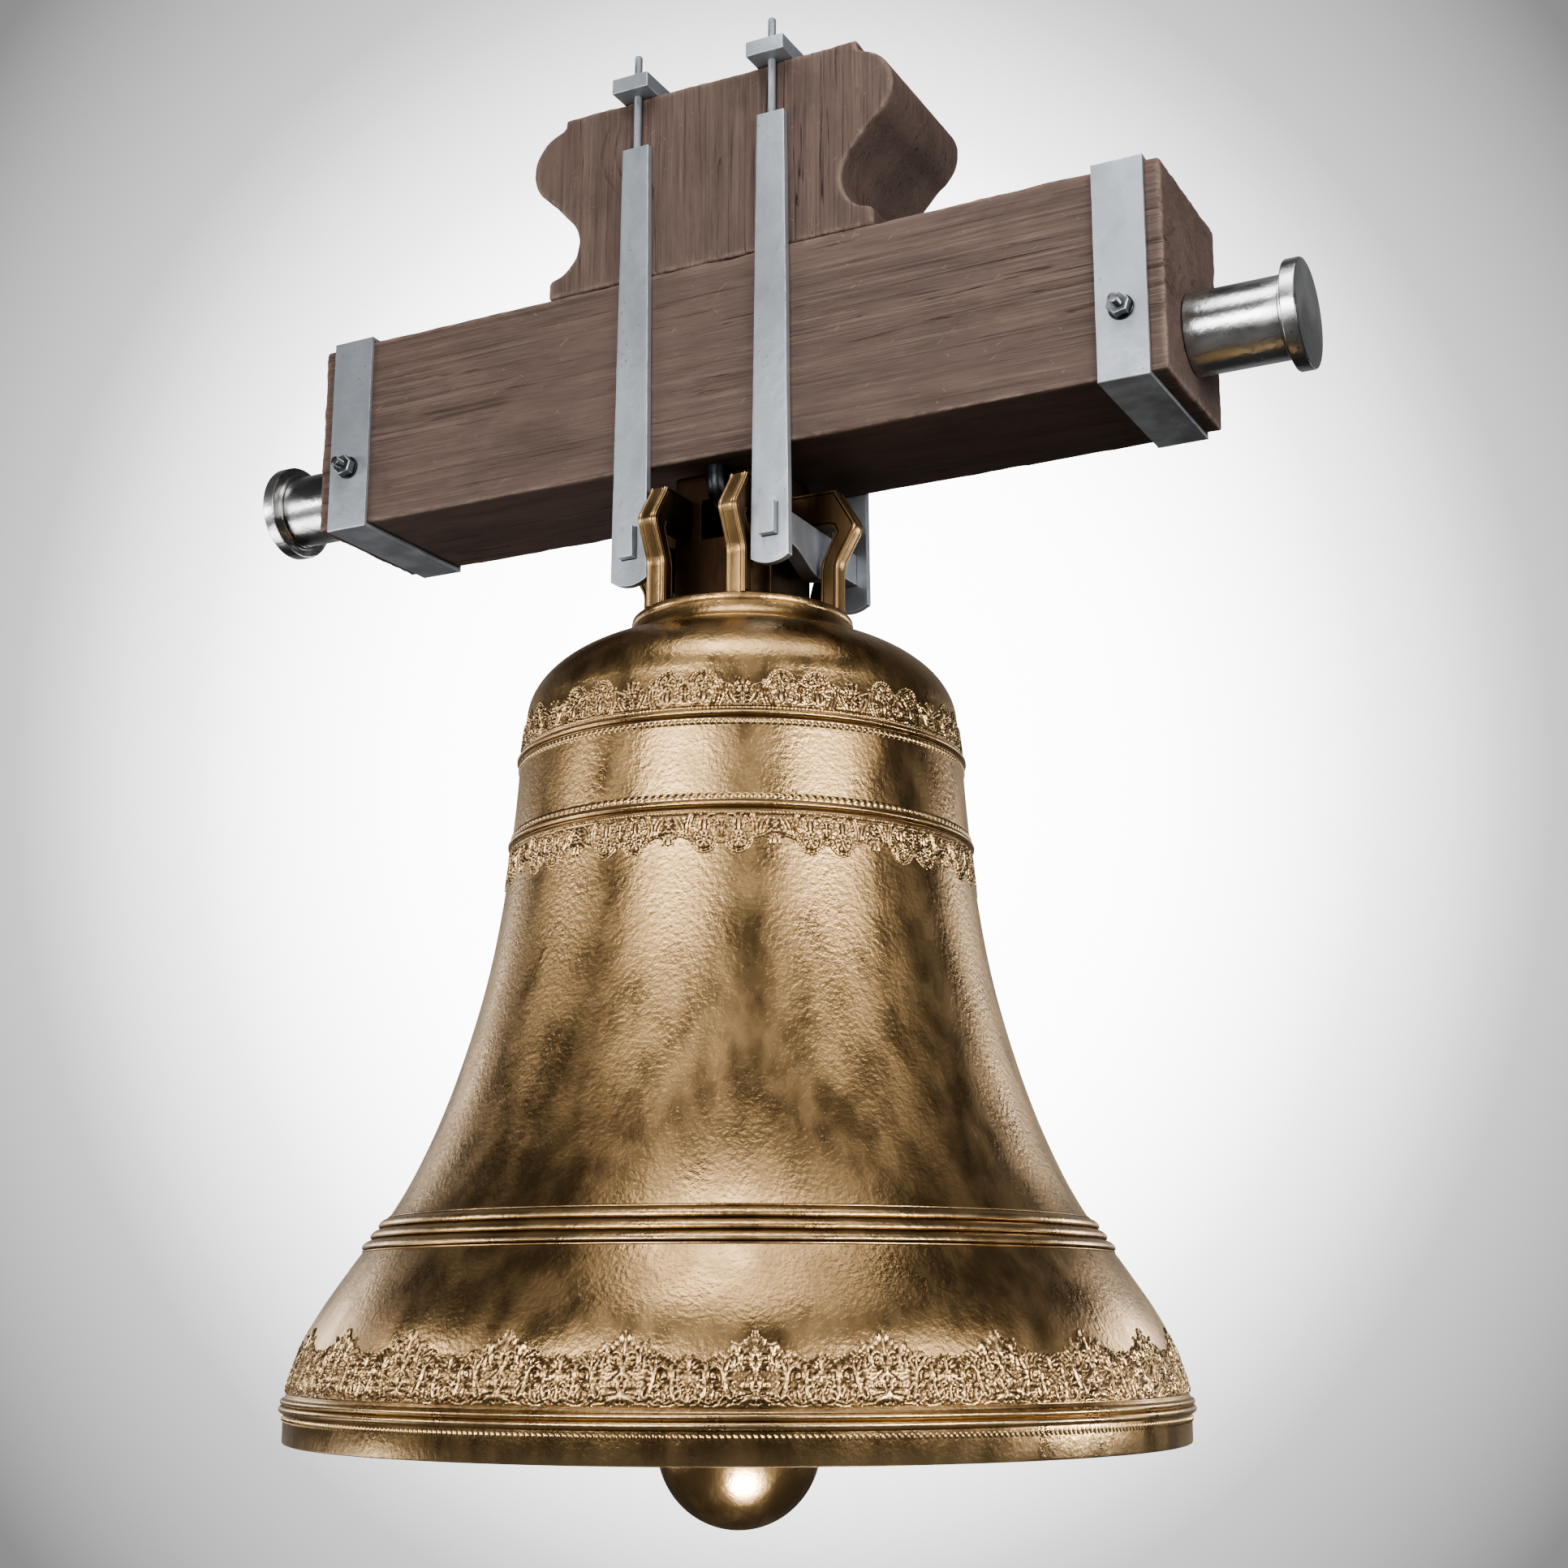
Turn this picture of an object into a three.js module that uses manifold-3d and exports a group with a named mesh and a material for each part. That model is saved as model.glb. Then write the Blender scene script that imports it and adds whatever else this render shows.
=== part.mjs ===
// A swinging church bell: a bronze bell hung by its canons under a timber headstock,
// with strap hangers, gudgeons running in sleeves, and a clapper on a pin inside.
// Millimetres, +Z up. The origin is the middle of the gudgeon axis, which runs along X.

import * as THREE from 'three';
import { mergeVertices } from 'three/addons/utils/BufferGeometryUtils.js';
import Module from 'manifold-3d';

const wasm = await Module();
wasm.setup();

// ---------- Sizes ----------

const GAP = 0.3; // between pieces that touch
const ROUND = 48; // sides of a large round
const SMALL_ROUND = 16; // sides of a small round

// Bell casting, measured up from the mouth
const MOUTH_RADIUS = 500;
const SHOULDER_RADIUS = 257;
const SHOULDER_HEIGHT = 820;
const SHOULDER_RISE = 96;
const LIP_BAND_HEIGHT = 28;
const LIP_BEAD_HEIGHT = 22;
const LIP_BEAD_PROUD = 5;
const LIP_WALL = 22;
const SOUND_BOW_WALL = 70;
const WAIST_WALL = 30;
const SHOULDER_WALL = 27;
const CROWN_WALL = 36;
const CROWN_MARGIN = 11; // edge of the crown's disc beyond the side canons' feet
const CROWN_COVE = 21; // how far the disc draws in to its top
const CROWN_DISC_HEIGHT = 34;
const DOME_START = 0.96; // share of the shoulder's height where the inside dome springs
const DOME_FLAT = 0.55; // share of the dome's radius that is flat
// Outside of the waist: flare is 1 at the mouth radius and 0 at the shoulder radius
const WAIST_STATIONS = [
  { rise: 0.073, flare: 0.988 },
  { rise: 0.146, flare: 0.899 },
  { rise: 0.22, flare: 0.741 },
  { rise: 0.305, flare: 0.539 },
  { rise: 0.39, flare: 0.395 },
  { rise: 0.488, flare: 0.272 },
  { rise: 0.61, flare: 0.158 },
  { rise: 0.732, flare: 0.086 },
  { rise: 0.854, flare: 0.045 },
  { rise: 0.951, flare: 0.021 },
  { rise: 1, flare: 0 },
];
const WALL_STATIONS = [
  { rise: 0, wall: LIP_WALL },
  { rise: 0.08, wall: SOUND_BOW_WALL },
  { rise: 0.22, wall: 50 },
  { rise: 0.37, wall: 36 },
  { rise: 0.6, wall: WAIST_WALL },
  { rise: 0.96, wall: SHOULDER_WALL },
];
const OUTER_STEPS = 12;
const INNER_STEPS = 9;
const DOME_STEPS = 5;
// Raised rings: share of the shoulder's height and how far each stands proud
const RING_HALF_WIDTH = 5;
const RINGS = [
  { rise: 0.2488, proud: 6 },
  { rise: 0.2659, proud: 6 },
  { rise: 0.2829, proud: 6 },
  { rise: 0.8073, proud: 4 },
  { rise: 0.928, proud: 4 },
];

// Crown: the argent block in the middle and the canon loops around it
const ARGENT_INSET = 49; // face of the argent in from the face of the beam
const CANON_THICKNESS = 24;
const CANON_ARM = 44; // height of a canon's top arm
const CANON_LEG = 22; // thickness of a canon's leg at its foot
const CANON_ELBOW = 26.5; // thickness of the leg at its elbow
const CANON_ROOT = 4; // how far an arm runs into the argent
const CANON_SPACING = 54; // from the middle to each front and back canon
const CANON_DROP = 33; // canon tops below the timber
const CANON_FOOT_DEPTH = 32; // how far a canon's foot runs down into the crown
const FRONT_FOOT = 120; // outer side of a front canon's foot
const FRONT_ELBOW = { proud: 22, back: 28 }; // elbow beyond the foot, and top corner behind the elbow
const SIDE_ELBOW = { proud: 24, back: 25 };
const ELBOW_DROP = 47; // canon elbow below its top
const ANKLE_DROP = 94; // where the leg turns vertical, below the canon's top
const EYE_HALF_WIDTH = 28;
const EYE_HEIGHT = 47;
const EYE_DROP = 35; // top of the eye below the timber

// Headstock timbers
const BEAM_LENGTH = 1150;
const BEAM_DEPTH = 204;
const BEAM_HEIGHT = 251.5;
const BEAM_CHAMFER = 4;
const AXLE_ABOVE_BEAM_BOTTOM = 78;
const CROWN_TO_BEAM = 180; // crown top up to the underside of the beam
const BLOCK_HEIGHT = 245.5;
const BLOCK_TOP_HALF = 206;
const BLOCK_FOOT_HALF = 226;
const BLOCK_FOOT_HEIGHT = 24;
const BLOCK_STEP = 10;
const BULGE_SHARE = 0.2364; // radius of the horn over the height of the shaped end
const COVE_SHARE = 0.227; // radius of the cove over the same height
const DOWEL_RADIUS = 12;
const DOWEL_LENGTH = 80;
const DOWEL_SPACING = 150;

// Hangers: strap, threaded end, cross plate and canon bar
const STRAP_CLEARANCE = 4; // strap to the front canon beside it
const BAR_CLEARANCE = 6.75; // canon bar to the leg of the side canon
const STRAP_THICKNESS = 10;
const STRAP_TOP_WIDTH = 37;
const STRAP_BOTTOM_WIDTH = 50;
const STRAP_BELOW_BEAM = 142;
const STRAP_ABOVE_BEAM = 174.5;
const STRAP_TOE = 8; // depth of the rounded bottom end
const ROD_RADIUS = 5;
const ROD_PROUD = 36.5; // rod above the cross plate
const PLATE_WIDTH = 51;
const PLATE_LENGTH = 257;
const PLATE_THICKNESS = 20;
const BAR_WIDTH = 20.5;
const BAR_END_HEIGHT = 39;
const BAR_BELLY = 22; // extra depth at the middle of the bar
const BAR_PROUD = 10;
const BAR_BELLY_HALF = 75;

// Gudgeons, sleeves, end caps and bands
const BAND_WIDTH = 60;
const BAND_THICKNESS = 5;
const BAND_INSET = 18.5; // end of the beam to the band
const TANG_SIDE = 60;
const TANG_LENGTH = 180;
const PIN_RADIUS = 30;
const SLEEVE_RADIUS = 47.5;
const SLEEVE_LENGTH = 108;
const RUNNING_GAP = 0.3;
const NOSE_RADIUS = 22;
const NOSE_LENGTH = 14;
const CAP_RADIUS = 62.5;
const CAP_THICKNESS = 18;
const CAP_CHAMFER = 2;
const CAP_STEP_RADIUS = 51.5;
const CAP_STEP = 4.5;
const BOLT_RADIUS = 6;
const BOLT_PROUD = 14;
const BOLT_HEAD_HEIGHT = 9;
const NUT_HEIGHT = 12;
const NUT_ACROSS = 24;
const WASHER_RADIUS = 15;
const WASHER_THICKNESS = 3;

// Centre U-bolt through the eye of the argent
const UBOLT_RADIUS = 13;
const UBOLT_BEND = 20;
const UBOLT_PROUD = 6; // end of the bolt beyond its nut
const UBOLT_NUT_ACROSS = 40;
const UBOLT_NUT_HEIGHT = 20;
const UBOLT_PLATE_THICKNESS = 10;
const UBOLT_PLATE_WIDTH = 60;
const POCKET_DEPTH = 44;
const POCKET_SLACK = 3;

// Staple and clapper
const STAPLE_FLANGE_RADIUS = 58;
const STAPLE_FLANGE = 12;
const STAPLE_SHANK_RADIUS = 16;
const STAPLE_SHANK_LENGTH = 110;
const STAPLE_EAR_THICKNESS = 15;
const STAPLE_EAR_RADIUS = 30;
const PIVOT_DROP = 50; // clapper pin below the staple flange
const CLAPPER_PIN_RADIUS = 12;
const PIN_HEAD_ACROSS = 36;
const PIN_HEAD_HEIGHT = 10;
const PIN_NUT_HEIGHT = 16;
const BUSH_WALL = 6;
const EYE_WIDTH = 44;
const EYE_WALL = 16;
const SHAFT_TOP_RADIUS = 17;
const SHAFT_LOW_RADIUS = 25;
const SHAFT_LOW_STRAIGHT = 40; // straight length above the ball
const SHAFT_TOP_STRAIGHT = 90; // straight length below the eye
const BALL_RADIUS = 92;
const BALL_BELOW_MOUTH = 6;

// ---------- Places worked out from the sizes ----------

const hangerX = CANON_SPACING + CANON_THICKNESS / 2 + STRAP_CLEARANCE + STRAP_BOTTOM_WIDTH / 2;
const sideFoot = hangerX + BAR_WIDTH / 2 + BAR_CLEARANCE + CANON_LEG;
const discRadius = sideFoot + CROWN_MARGIN;
const crownTopRadius = discRadius - CROWN_COVE;
const argentHalfWidth = CANON_SPACING + CANON_THICKNESS / 2;
const argentHalfDepth = BEAM_DEPTH / 2 - ARGENT_INSET;
const shapedHeight = BLOCK_HEIGHT - BLOCK_FOOT_HEIGHT - BLOCK_STEP;
const bulgeRadius = BULGE_SHARE * shapedHeight;
const coveRadius = COVE_SHARE * shapedHeight;
const crownTop = SHOULDER_HEIGHT + SHOULDER_RISE + CROWN_DISC_HEIGHT;
const axleAboveMouth = crownTop + CROWN_TO_BEAM + AXLE_ABOVE_BEAM_BOTTOM;
const mouthZ = -axleAboveMouth;
const beamBottom = -AXLE_ABOVE_BEAM_BOTTOM;
const beamTop = beamBottom + BEAM_HEIGHT;
const beamEnd = BEAM_LENGTH / 2;
const beamFace = BEAM_DEPTH / 2;
const blockTop = beamTop + BLOCK_HEIGHT;
const strapInner = beamFace + GAP;
const strapOuter = strapInner + STRAP_THICKNESS;
const rodY = strapInner + STRAP_THICKNESS / 2;
const plateBottom = blockTop + GAP;
const canonTop = beamBottom - CANON_DROP;
const armBottom = canonTop - CANON_ARM;
const barTop = armBottom - GAP;
const eyeTop = beamBottom - EYE_DROP;
const crownInside = mouthZ + SHOULDER_HEIGHT + SHOULDER_RISE - CROWN_WALL;
const stapleBottom = crownInside - GAP - STAPLE_FLANGE;
const pivotZ = stapleBottom - PIVOT_DROP;
const ballZ = mouthZ - BALL_BELOW_MOUTH;
const bandCentre = beamEnd - BAND_INSET - BAND_WIDTH / 2;
const bandFace = beamFace + GAP + BAND_THICKNESS;
const capStart = beamEnd + SLEEVE_LENGTH + 2 * GAP;
const uboltY = argentHalfDepth + UBOLT_RADIUS + 1;
const earInner = EYE_WIDTH / 2 + RUNNING_GAP;

// ---------- Solids ----------

// A polygon drawn round a circle, so that its flats clear the radius
const around = (radius, sides) => radius / Math.cos(Math.PI / sides);

function solid(geometry) {
  const bare = geometry.clone();
  bare.deleteAttribute('normal');
  bare.deleteAttribute('uv');
  const merged = mergeVertices(bare, 1e-4);
  const corners = merged.index.array;
  const faces = [];
  for (let i = 0; i < corners.length; i += 3) {
    const [a, b, c] = [corners[i], corners[i + 1], corners[i + 2]];
    if (a !== b && b !== c && c !== a) faces.push(a, b, c);
  }
  return new wasm.Manifold(new wasm.Mesh({
    numProp: 3,
    vertProperties: new Float32Array(merged.attributes.position.array),
    triVerts: new Uint32Array(faces),
  }));
}

function geometryOf(body) {
  const mesh = body.getMesh();
  const geometry = new THREE.BufferGeometry();
  geometry.setAttribute('position', new THREE.BufferAttribute(mesh.vertProperties, 3));
  geometry.setIndex(new THREE.BufferAttribute(mesh.triVerts, 1));
  return geometry;
}

// A box from its lowest to its highest corner
function block(low, high) {
  const size = high.map((value, i) => value - low[i]);
  const geometry = new THREE.BoxGeometry(...size);
  geometry.translate(...high.map((value, i) => (value + low[i]) / 2));
  return solid(geometry);
}

// A round bar along x, y or z, from one place on that axis to another
function rod(axis, radius, from, to, sides = SMALL_ROUND) {
  const geometry = new THREE.CylinderGeometry(radius, radius, to - from, sides);
  geometry.rotateY(Math.PI / sides);
  geometry.translate(0, (from + to) / 2, 0);
  if (axis === 'x') geometry.rotateZ(-Math.PI / 2);
  if (axis === 'z') geometry.rotateX(Math.PI / 2);
  return solid(geometry);
}

// A round hole's cutter: its flats clear a bar of that radius by the gap
const bore = (axis, radius, from, to, sides = SMALL_ROUND, gap = GAP) =>
  rod(axis, around(radius + gap, sides), from, to, sides);

// A hexagon bar with the given size across its flats
const hexagon = (axis, across, from, to) => rod(axis, around(across / 2, 6), from, to, 6);

// A profile of [radius, height] turned about Z
function turned(profile, sides = ROUND) {
  const geometry = new THREE.LatheGeometry(profile.map(([r, h]) => new THREE.Vector2(r, h)), sides);
  geometry.rotateX(Math.PI / 2);
  return solid(geometry);
}

// An outline in x and z, given a thickness along y and centred on y = 0
function slab(outline, thickness) {
  const shape = outline instanceof THREE.Shape ? outline : new THREE.Shape(
    outline.map(([x, z]) => new THREE.Vector2(x, z)));
  const settings = { depth: thickness, bevelEnabled: false, curveSegments: 6 };
  const geometry = new THREE.ExtrudeGeometry(shape, settings);
  geometry.translate(0, 0, -thickness / 2);
  geometry.rotateX(Math.PI / 2);
  return solid(geometry);
}

const turnToY = (body) => body.rotate([0, 0, 90]);
const turnToX = (body) => body.rotate([0, 90, 0]);

// ---------- Bell casting ----------

const waistCurve = new THREE.SplineCurve(WAIST_STATIONS.map(({ rise, flare }) => new THREE.Vector2(
  SHOULDER_RADIUS + flare * (MOUTH_RADIUS - SHOULDER_RADIUS), rise * SHOULDER_HEIGHT)));

function outsideRadius(height) {
  const lowest = waistCurve.points[0];
  if (height <= lowest.y) return THREE.MathUtils.mapLinear(height, 0, lowest.y, MOUTH_RADIUS, lowest.x);
  let [low, high] = [0, 1];
  while (high - low > 1e-5) {
    const middle = (low + high) / 2;
    if (waistCurve.getPoint(middle).y < height) low = middle;
    else high = middle;
  }
  return waistCurve.getPoint(low).x;
}

function wallAt(height) {
  const rise = height / SHOULDER_HEIGHT;
  const next = WALL_STATIONS.findIndex((station) => station.rise >= rise);
  if (next <= 0) return WALL_STATIONS.at(next).wall;
  const [a, b] = [WALL_STATIONS[next - 1], WALL_STATIONS[next]];
  const share = THREE.MathUtils.smoothstep(rise, a.rise, b.rise);
  return THREE.MathUtils.lerp(a.wall, b.wall, share);
}

// A quarter of an ellipse from its side to its top
function quarter(centre, wide, tall, steps) {
  return Array.from({ length: steps + 1 }, (_, i) => {
    const angle = (i / steps) * Math.PI / 2;
    return [centre[0] + wide * Math.cos(angle), centre[1] + tall * Math.sin(angle)];
  });
}

function bellProfile() {
  const springing = DOME_START * SHOULDER_HEIGHT;
  const insideTop = SHOULDER_HEIGHT + SHOULDER_RISE - CROWN_WALL;
  const insideEdge = outsideRadius(springing) - wallAt(springing);
  const flat = DOME_FLAT * insideEdge;
  const dome = quarter([flat, springing], insideEdge - flat, insideTop - springing, DOME_STEPS);
  const inside = Array.from({ length: INNER_STEPS }, (_, i) => {
    const height = springing * (1 - (i + 1) / INNER_STEPS) ** 1.3;
    return [outsideRadius(height) - wallAt(height), height];
  });
  const beadTop = LIP_BAND_HEIGHT + LIP_BEAD_HEIGHT;
  const lip = [
    [MOUTH_RADIUS, 0],
    [MOUTH_RADIUS, LIP_BAND_HEIGHT],
    [MOUTH_RADIUS + LIP_BEAD_PROUD, LIP_BAND_HEIGHT + 0.3 * LIP_BEAD_HEIGHT],
    [MOUTH_RADIUS + LIP_BEAD_PROUD, LIP_BAND_HEIGHT + 0.7 * LIP_BEAD_HEIGHT],
    [outsideRadius(beadTop), beadTop],
  ];
  const heights = Array.from({ length: OUTER_STEPS }, (_, i) =>
    THREE.MathUtils.lerp(beadTop, SHOULDER_HEIGHT, (i + 1) / OUTER_STEPS));
  const rings = RINGS.map(({ rise, proud }) => ({ height: rise * SHOULDER_HEIGHT, proud }));
  const plain = heights.filter((height) =>
    height < SHOULDER_HEIGHT && rings.every((ring) => Math.abs(ring.height - height) > 2 * RING_HALF_WIDTH));
  const waist = plain.map((height) => [outsideRadius(height), height]);
  for (const { height, proud } of rings) {
    const [low, high] = [height - RING_HALF_WIDTH, height + RING_HALF_WIDTH];
    waist.push([outsideRadius(low), low], [outsideRadius(height) + proud, height], [outsideRadius(high), high]);
  }
  waist.sort((a, b) => a[1] - b[1]);
  const shoulderTop = SHOULDER_HEIGHT + SHOULDER_RISE;
  const shoulder = quarter([discRadius, SHOULDER_HEIGHT], SHOULDER_RADIUS - discRadius,
    SHOULDER_RISE, DOME_STEPS + 1);
  const cove = [
    [THREE.MathUtils.lerp(crownTopRadius, discRadius, 0.4), shoulderTop + 0.25 * CROWN_DISC_HEIGHT],
    [crownTopRadius, shoulderTop + 0.6 * CROWN_DISC_HEIGHT],
    [crownTopRadius, crownTop],
  ];
  return [[0, insideTop], ...dome.reverse(), ...inside, ...lip, ...waist, ...shoulder, ...cove, [0, crownTop]];
}

// A canon seen from its side: a foot in the crown, an elbow, and an arm back to the argent
function canon(foot, { proud, back }, root) {
  const elbow = foot + proud;
  const bottom = mouthZ + crownTop - CANON_FOOT_DEPTH;
  const ankle = canonTop - ANKLE_DROP;
  const bend = canonTop - ELBOW_DROP;
  const shape = new THREE.Shape();
  shape.moveTo(root, canonTop);
  shape.lineTo(root, armBottom);
  shape.lineTo(elbow - CANON_ELBOW - 8, armBottom);
  shape.quadraticCurveTo(elbow - CANON_ELBOW, armBottom, elbow - CANON_ELBOW, armBottom - 8);
  shape.lineTo(foot - CANON_LEG, ankle);
  shape.lineTo(foot - CANON_LEG, bottom);
  shape.lineTo(foot, bottom);
  shape.lineTo(foot, ankle);
  shape.lineTo(elbow - 2, bend - 6);
  shape.quadraticCurveTo(elbow, bend, elbow - 3, bend + 8);
  shape.lineTo(elbow - back, canonTop);
  shape.closePath();
  return slab(shape, CANON_THICKNESS);
}

function argent() {
  const bottom = mouthZ + crownTop - CANON_FOOT_DEPTH;
  const body = block([-argentHalfWidth, -argentHalfDepth, bottom],
    [argentHalfWidth, argentHalfDepth, beamBottom - GAP]);
  const eye = block([-EYE_HALF_WIDTH, -argentHalfDepth - 1, eyeTop - EYE_HEIGHT],
    [EYE_HALF_WIDTH, argentHalfDepth + 1, eyeTop]);
  return body.subtract(eye).subtract(ubolt(UBOLT_RADIUS + GAP));
}

function bellCasting() {
  let body = turned(bellProfile()).translate([0, 0, mouthZ]);
  const side = canon(sideFoot, SIDE_ELBOW, argentHalfWidth - CANON_ROOT);
  const front = turnToY(canon(FRONT_FOOT, FRONT_ELBOW, argentHalfDepth - CANON_ROOT));
  let crown = argent();
  for (const turn of [0, 180]) {
    crown = crown.add(side.rotate([0, 0, turn]));
    for (const x of [-CANON_SPACING, CANON_SPACING]) {
      crown = crown.add(front.rotate([0, 0, turn]).translate([x, 0, 0]));
    }
  }
  body = body.add(crown);
  return body.subtract(bore('z', STAPLE_SHANK_RADIUS, crownInside - 1,
    crownInside + STAPLE_SHANK_LENGTH + 2));
}

// ---------- Centre U-bolt ----------

class Route extends THREE.Curve {
  constructor(points) {
    super();
    this.points = points;
  }

  getPoint(t, target = new THREE.Vector3()) {
    const place = THREE.MathUtils.clamp(t, 0, 1) * (this.points.length - 1);
    const index = Math.min(Math.floor(place), this.points.length - 2);
    return target.copy(this.points[index]).lerp(this.points[index + 1], place - index);
  }

  getUtoTmapping(u) {
    return u;
  }
}

const uboltTop = beamTop - POCKET_DEPTH + UBOLT_PLATE_THICKNESS + UBOLT_NUT_HEIGHT + UBOLT_PROUD;

function ubolt(radius) {
  const low = eyeTop - GAP - UBOLT_RADIUS;
  const bends = 5;
  const half = Array.from({ length: bends + 1 }, (_, i) => {
    const angle = (i / bends) * Math.PI / 2;
    return [uboltY - UBOLT_BEND + UBOLT_BEND * Math.cos(angle), low + UBOLT_BEND - UBOLT_BEND * Math.sin(angle)];
  });
  const right = [[uboltY, uboltTop], ...half].map(([y, z]) => new THREE.Vector3(0, y, z));
  const left = right.map((point) => new THREE.Vector3(0, -point.y, point.z)).reverse();
  const points = [...right, ...left];
  const section = new THREE.Shape(Array.from({ length: 16 }, (_, i) => {
    const angle = (i + 0.5) * Math.PI / 8;
    return new THREE.Vector2(radius * Math.cos(angle), radius * Math.sin(angle));
  }));
  const settings = { steps: points.length - 1, bevelEnabled: false, extrudePath: new Route(points) };
  return solid(new THREE.ExtrudeGeometry(section, settings));
}

const pocketHalf = {
  x: UBOLT_PLATE_WIDTH / 2 + POCKET_SLACK,
  y: uboltY + around(UBOLT_NUT_ACROSS / 2, 6) + POCKET_SLACK,
};

function uboltPlate() {
  const bottom = beamTop - POCKET_DEPTH + GAP;
  const reach = pocketHalf.y - POCKET_SLACK;
  let body = block([-UBOLT_PLATE_WIDTH / 2, -reach, bottom],
    [UBOLT_PLATE_WIDTH / 2, reach, bottom + UBOLT_PLATE_THICKNESS]);
  for (const y of [-uboltY, uboltY]) {
    body = body.subtract(bore('z', UBOLT_RADIUS, bottom - 1, bottom + UBOLT_PLATE_THICKNESS + 1)
      .translate([0, y, 0]));
  }
  return body;
}

function uboltNut(y) {
  const bottom = beamTop - POCKET_DEPTH + UBOLT_PLATE_THICKNESS + 2 * GAP;
  const top = bottom + UBOLT_NUT_HEIGHT;
  return hexagon('z', UBOLT_NUT_ACROSS, bottom, top)
    .subtract(bore('z', UBOLT_RADIUS, bottom - 1, top + 1)).translate([0, y, 0]);
}

// ---------- Timber headstock ----------

function beam() {
  const [y, c] = [beamFace, BEAM_CHAMFER];
  const section = [
    [-y + c, beamBottom], [y - c, beamBottom], [y, beamBottom + c], [y, beamTop - c],
    [y - c, beamTop], [-y + c, beamTop], [-y, beamTop - c], [-y, beamBottom + c],
  ];
  let body = turnToY(slab(section, BEAM_LENGTH));
  for (const side of [-1, 1]) {
    const [inner, outer] = [beamEnd - TANG_LENGTH - GAP, beamEnd + 1].map((x) => side * x).sort((a, b) => a - b);
    const half = TANG_SIDE / 2 + GAP;
    body = body.subtract(block([inner, -half, -half], [outer, half, half]));
    body = body.subtract(bore('y', BOLT_RADIUS, -y - 1, y + 1).translate([side * bandCentre, 0, 0]));
    body = body.subtract(bore('z', UBOLT_RADIUS, beamBottom - 1, beamTop).translate([0, side * uboltY, 0]));
    body = body.subtract(dowelBore(side));
  }
  const pocket = block([-pocketHalf.x, -pocketHalf.y, beamTop - POCKET_DEPTH],
    [pocketHalf.x, pocketHalf.y, beamTop + 1]);
  return body.subtract(pocket);
}

const dowelBore = (side) => bore('z', DOWEL_RADIUS, beamTop - DOWEL_LENGTH / 2 - GAP,
  beamTop + DOWEL_LENGTH / 2 + GAP).translate([side * DOWEL_SPACING, 0, 0]);

const dowel = (side) => rod('z', DOWEL_RADIUS, beamTop - DOWEL_LENGTH / 2,
  beamTop + DOWEL_LENGTH / 2).translate([side * DOWEL_SPACING, 0, 0]);

// Points round an arc from one angle to another, in degrees
function arc(centre, radius, from, to, steps) {
  return Array.from({ length: steps + 1 }, (_, i) => {
    const angle = THREE.MathUtils.degToRad(THREE.MathUtils.lerp(from, to, i / steps));
    return [centre[0] + radius * Math.cos(angle), centre[1] + radius * Math.sin(angle)];
  });
}

// The block's end is a horn above a cove, on a straight foot
function headBlock() {
  const foot = beamTop + GAP;
  const coveCentre = [BLOCK_FOOT_HALF + coveRadius / 8, foot + BLOCK_FOOT_HEIGHT + coveRadius * 23 / 24];
  const bulgeCentre = [BLOCK_TOP_HALF - 0.06 * bulgeRadius, blockTop - BLOCK_STEP - 1.1 * bulgeRadius];
  const right = [
    [BLOCK_FOOT_HALF, foot],
    [BLOCK_FOOT_HALF, foot + BLOCK_FOOT_HEIGHT],
    ...arc(coveCentre, coveRadius, 262, 132, 9),
    ...arc(bulgeCentre, bulgeRadius, -62, 78, 9),
    [BLOCK_TOP_HALF, blockTop - BLOCK_STEP],
    [BLOCK_TOP_HALF, blockTop],
  ];
  const left = right.map(([x, z]) => [-x, z]).reverse();
  let body = slab([...right, ...left], BEAM_DEPTH);
  for (const side of [-1, 1]) body = body.subtract(dowelBore(side));
  return body;
}

// ---------- Hangers ----------

// A bar seen from its end face side: flat top, straight ends and a belly between the straps
function canonBar() {
  const end = strapOuter + BAR_PROUD;
  const low = barTop - BAR_END_HEIGHT;
  const shape = new THREE.Shape();
  shape.moveTo(-end, barTop);
  shape.lineTo(-end, low);
  shape.lineTo(-BAR_BELLY_HALF, low);
  shape.quadraticCurveTo(-BAR_BELLY_HALF / 2, low - BAR_BELLY, 0, low - BAR_BELLY);
  shape.quadraticCurveTo(BAR_BELLY_HALF / 2, low - BAR_BELLY, BAR_BELLY_HALF, low);
  shape.lineTo(end, low);
  shape.lineTo(end, barTop);
  shape.closePath();
  return turnToY(slab(shape, BAR_WIDTH));
}

// A hanger strap in front of the beam, with its upper end drawn down to a threaded round
function hangerStrap() {
  const top = beamTop + STRAP_ABOVE_BEAM;
  const toe = beamBottom - STRAP_BELOW_BEAM;
  const [wide, narrow] = [STRAP_BOTTOM_WIDTH / 2, STRAP_TOP_WIDTH / 2];
  const shape = new THREE.Shape();
  shape.moveTo(narrow, top);
  shape.lineTo(-narrow, top);
  shape.lineTo(-wide, toe);
  shape.quadraticCurveTo(0, toe - 2 * STRAP_TOE, wide, toe);
  shape.closePath();
  const [halfSlot, low] = [BAR_WIDTH / 2 + GAP, barTop - BAR_END_HEIGHT];
  const slot = block([-halfSlot, -STRAP_THICKNESS, low - GAP], [halfSlot, STRAP_THICKNESS, barTop + GAP]);
  const thread = rod('z', ROD_RADIUS - 0.05, top - 10, plateBottom + PLATE_THICKNESS + ROD_PROUD, 16);
  return slab(shape, STRAP_THICKNESS).subtract(slot).add(thread).translate([0, -rodY, 0]);
}

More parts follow.
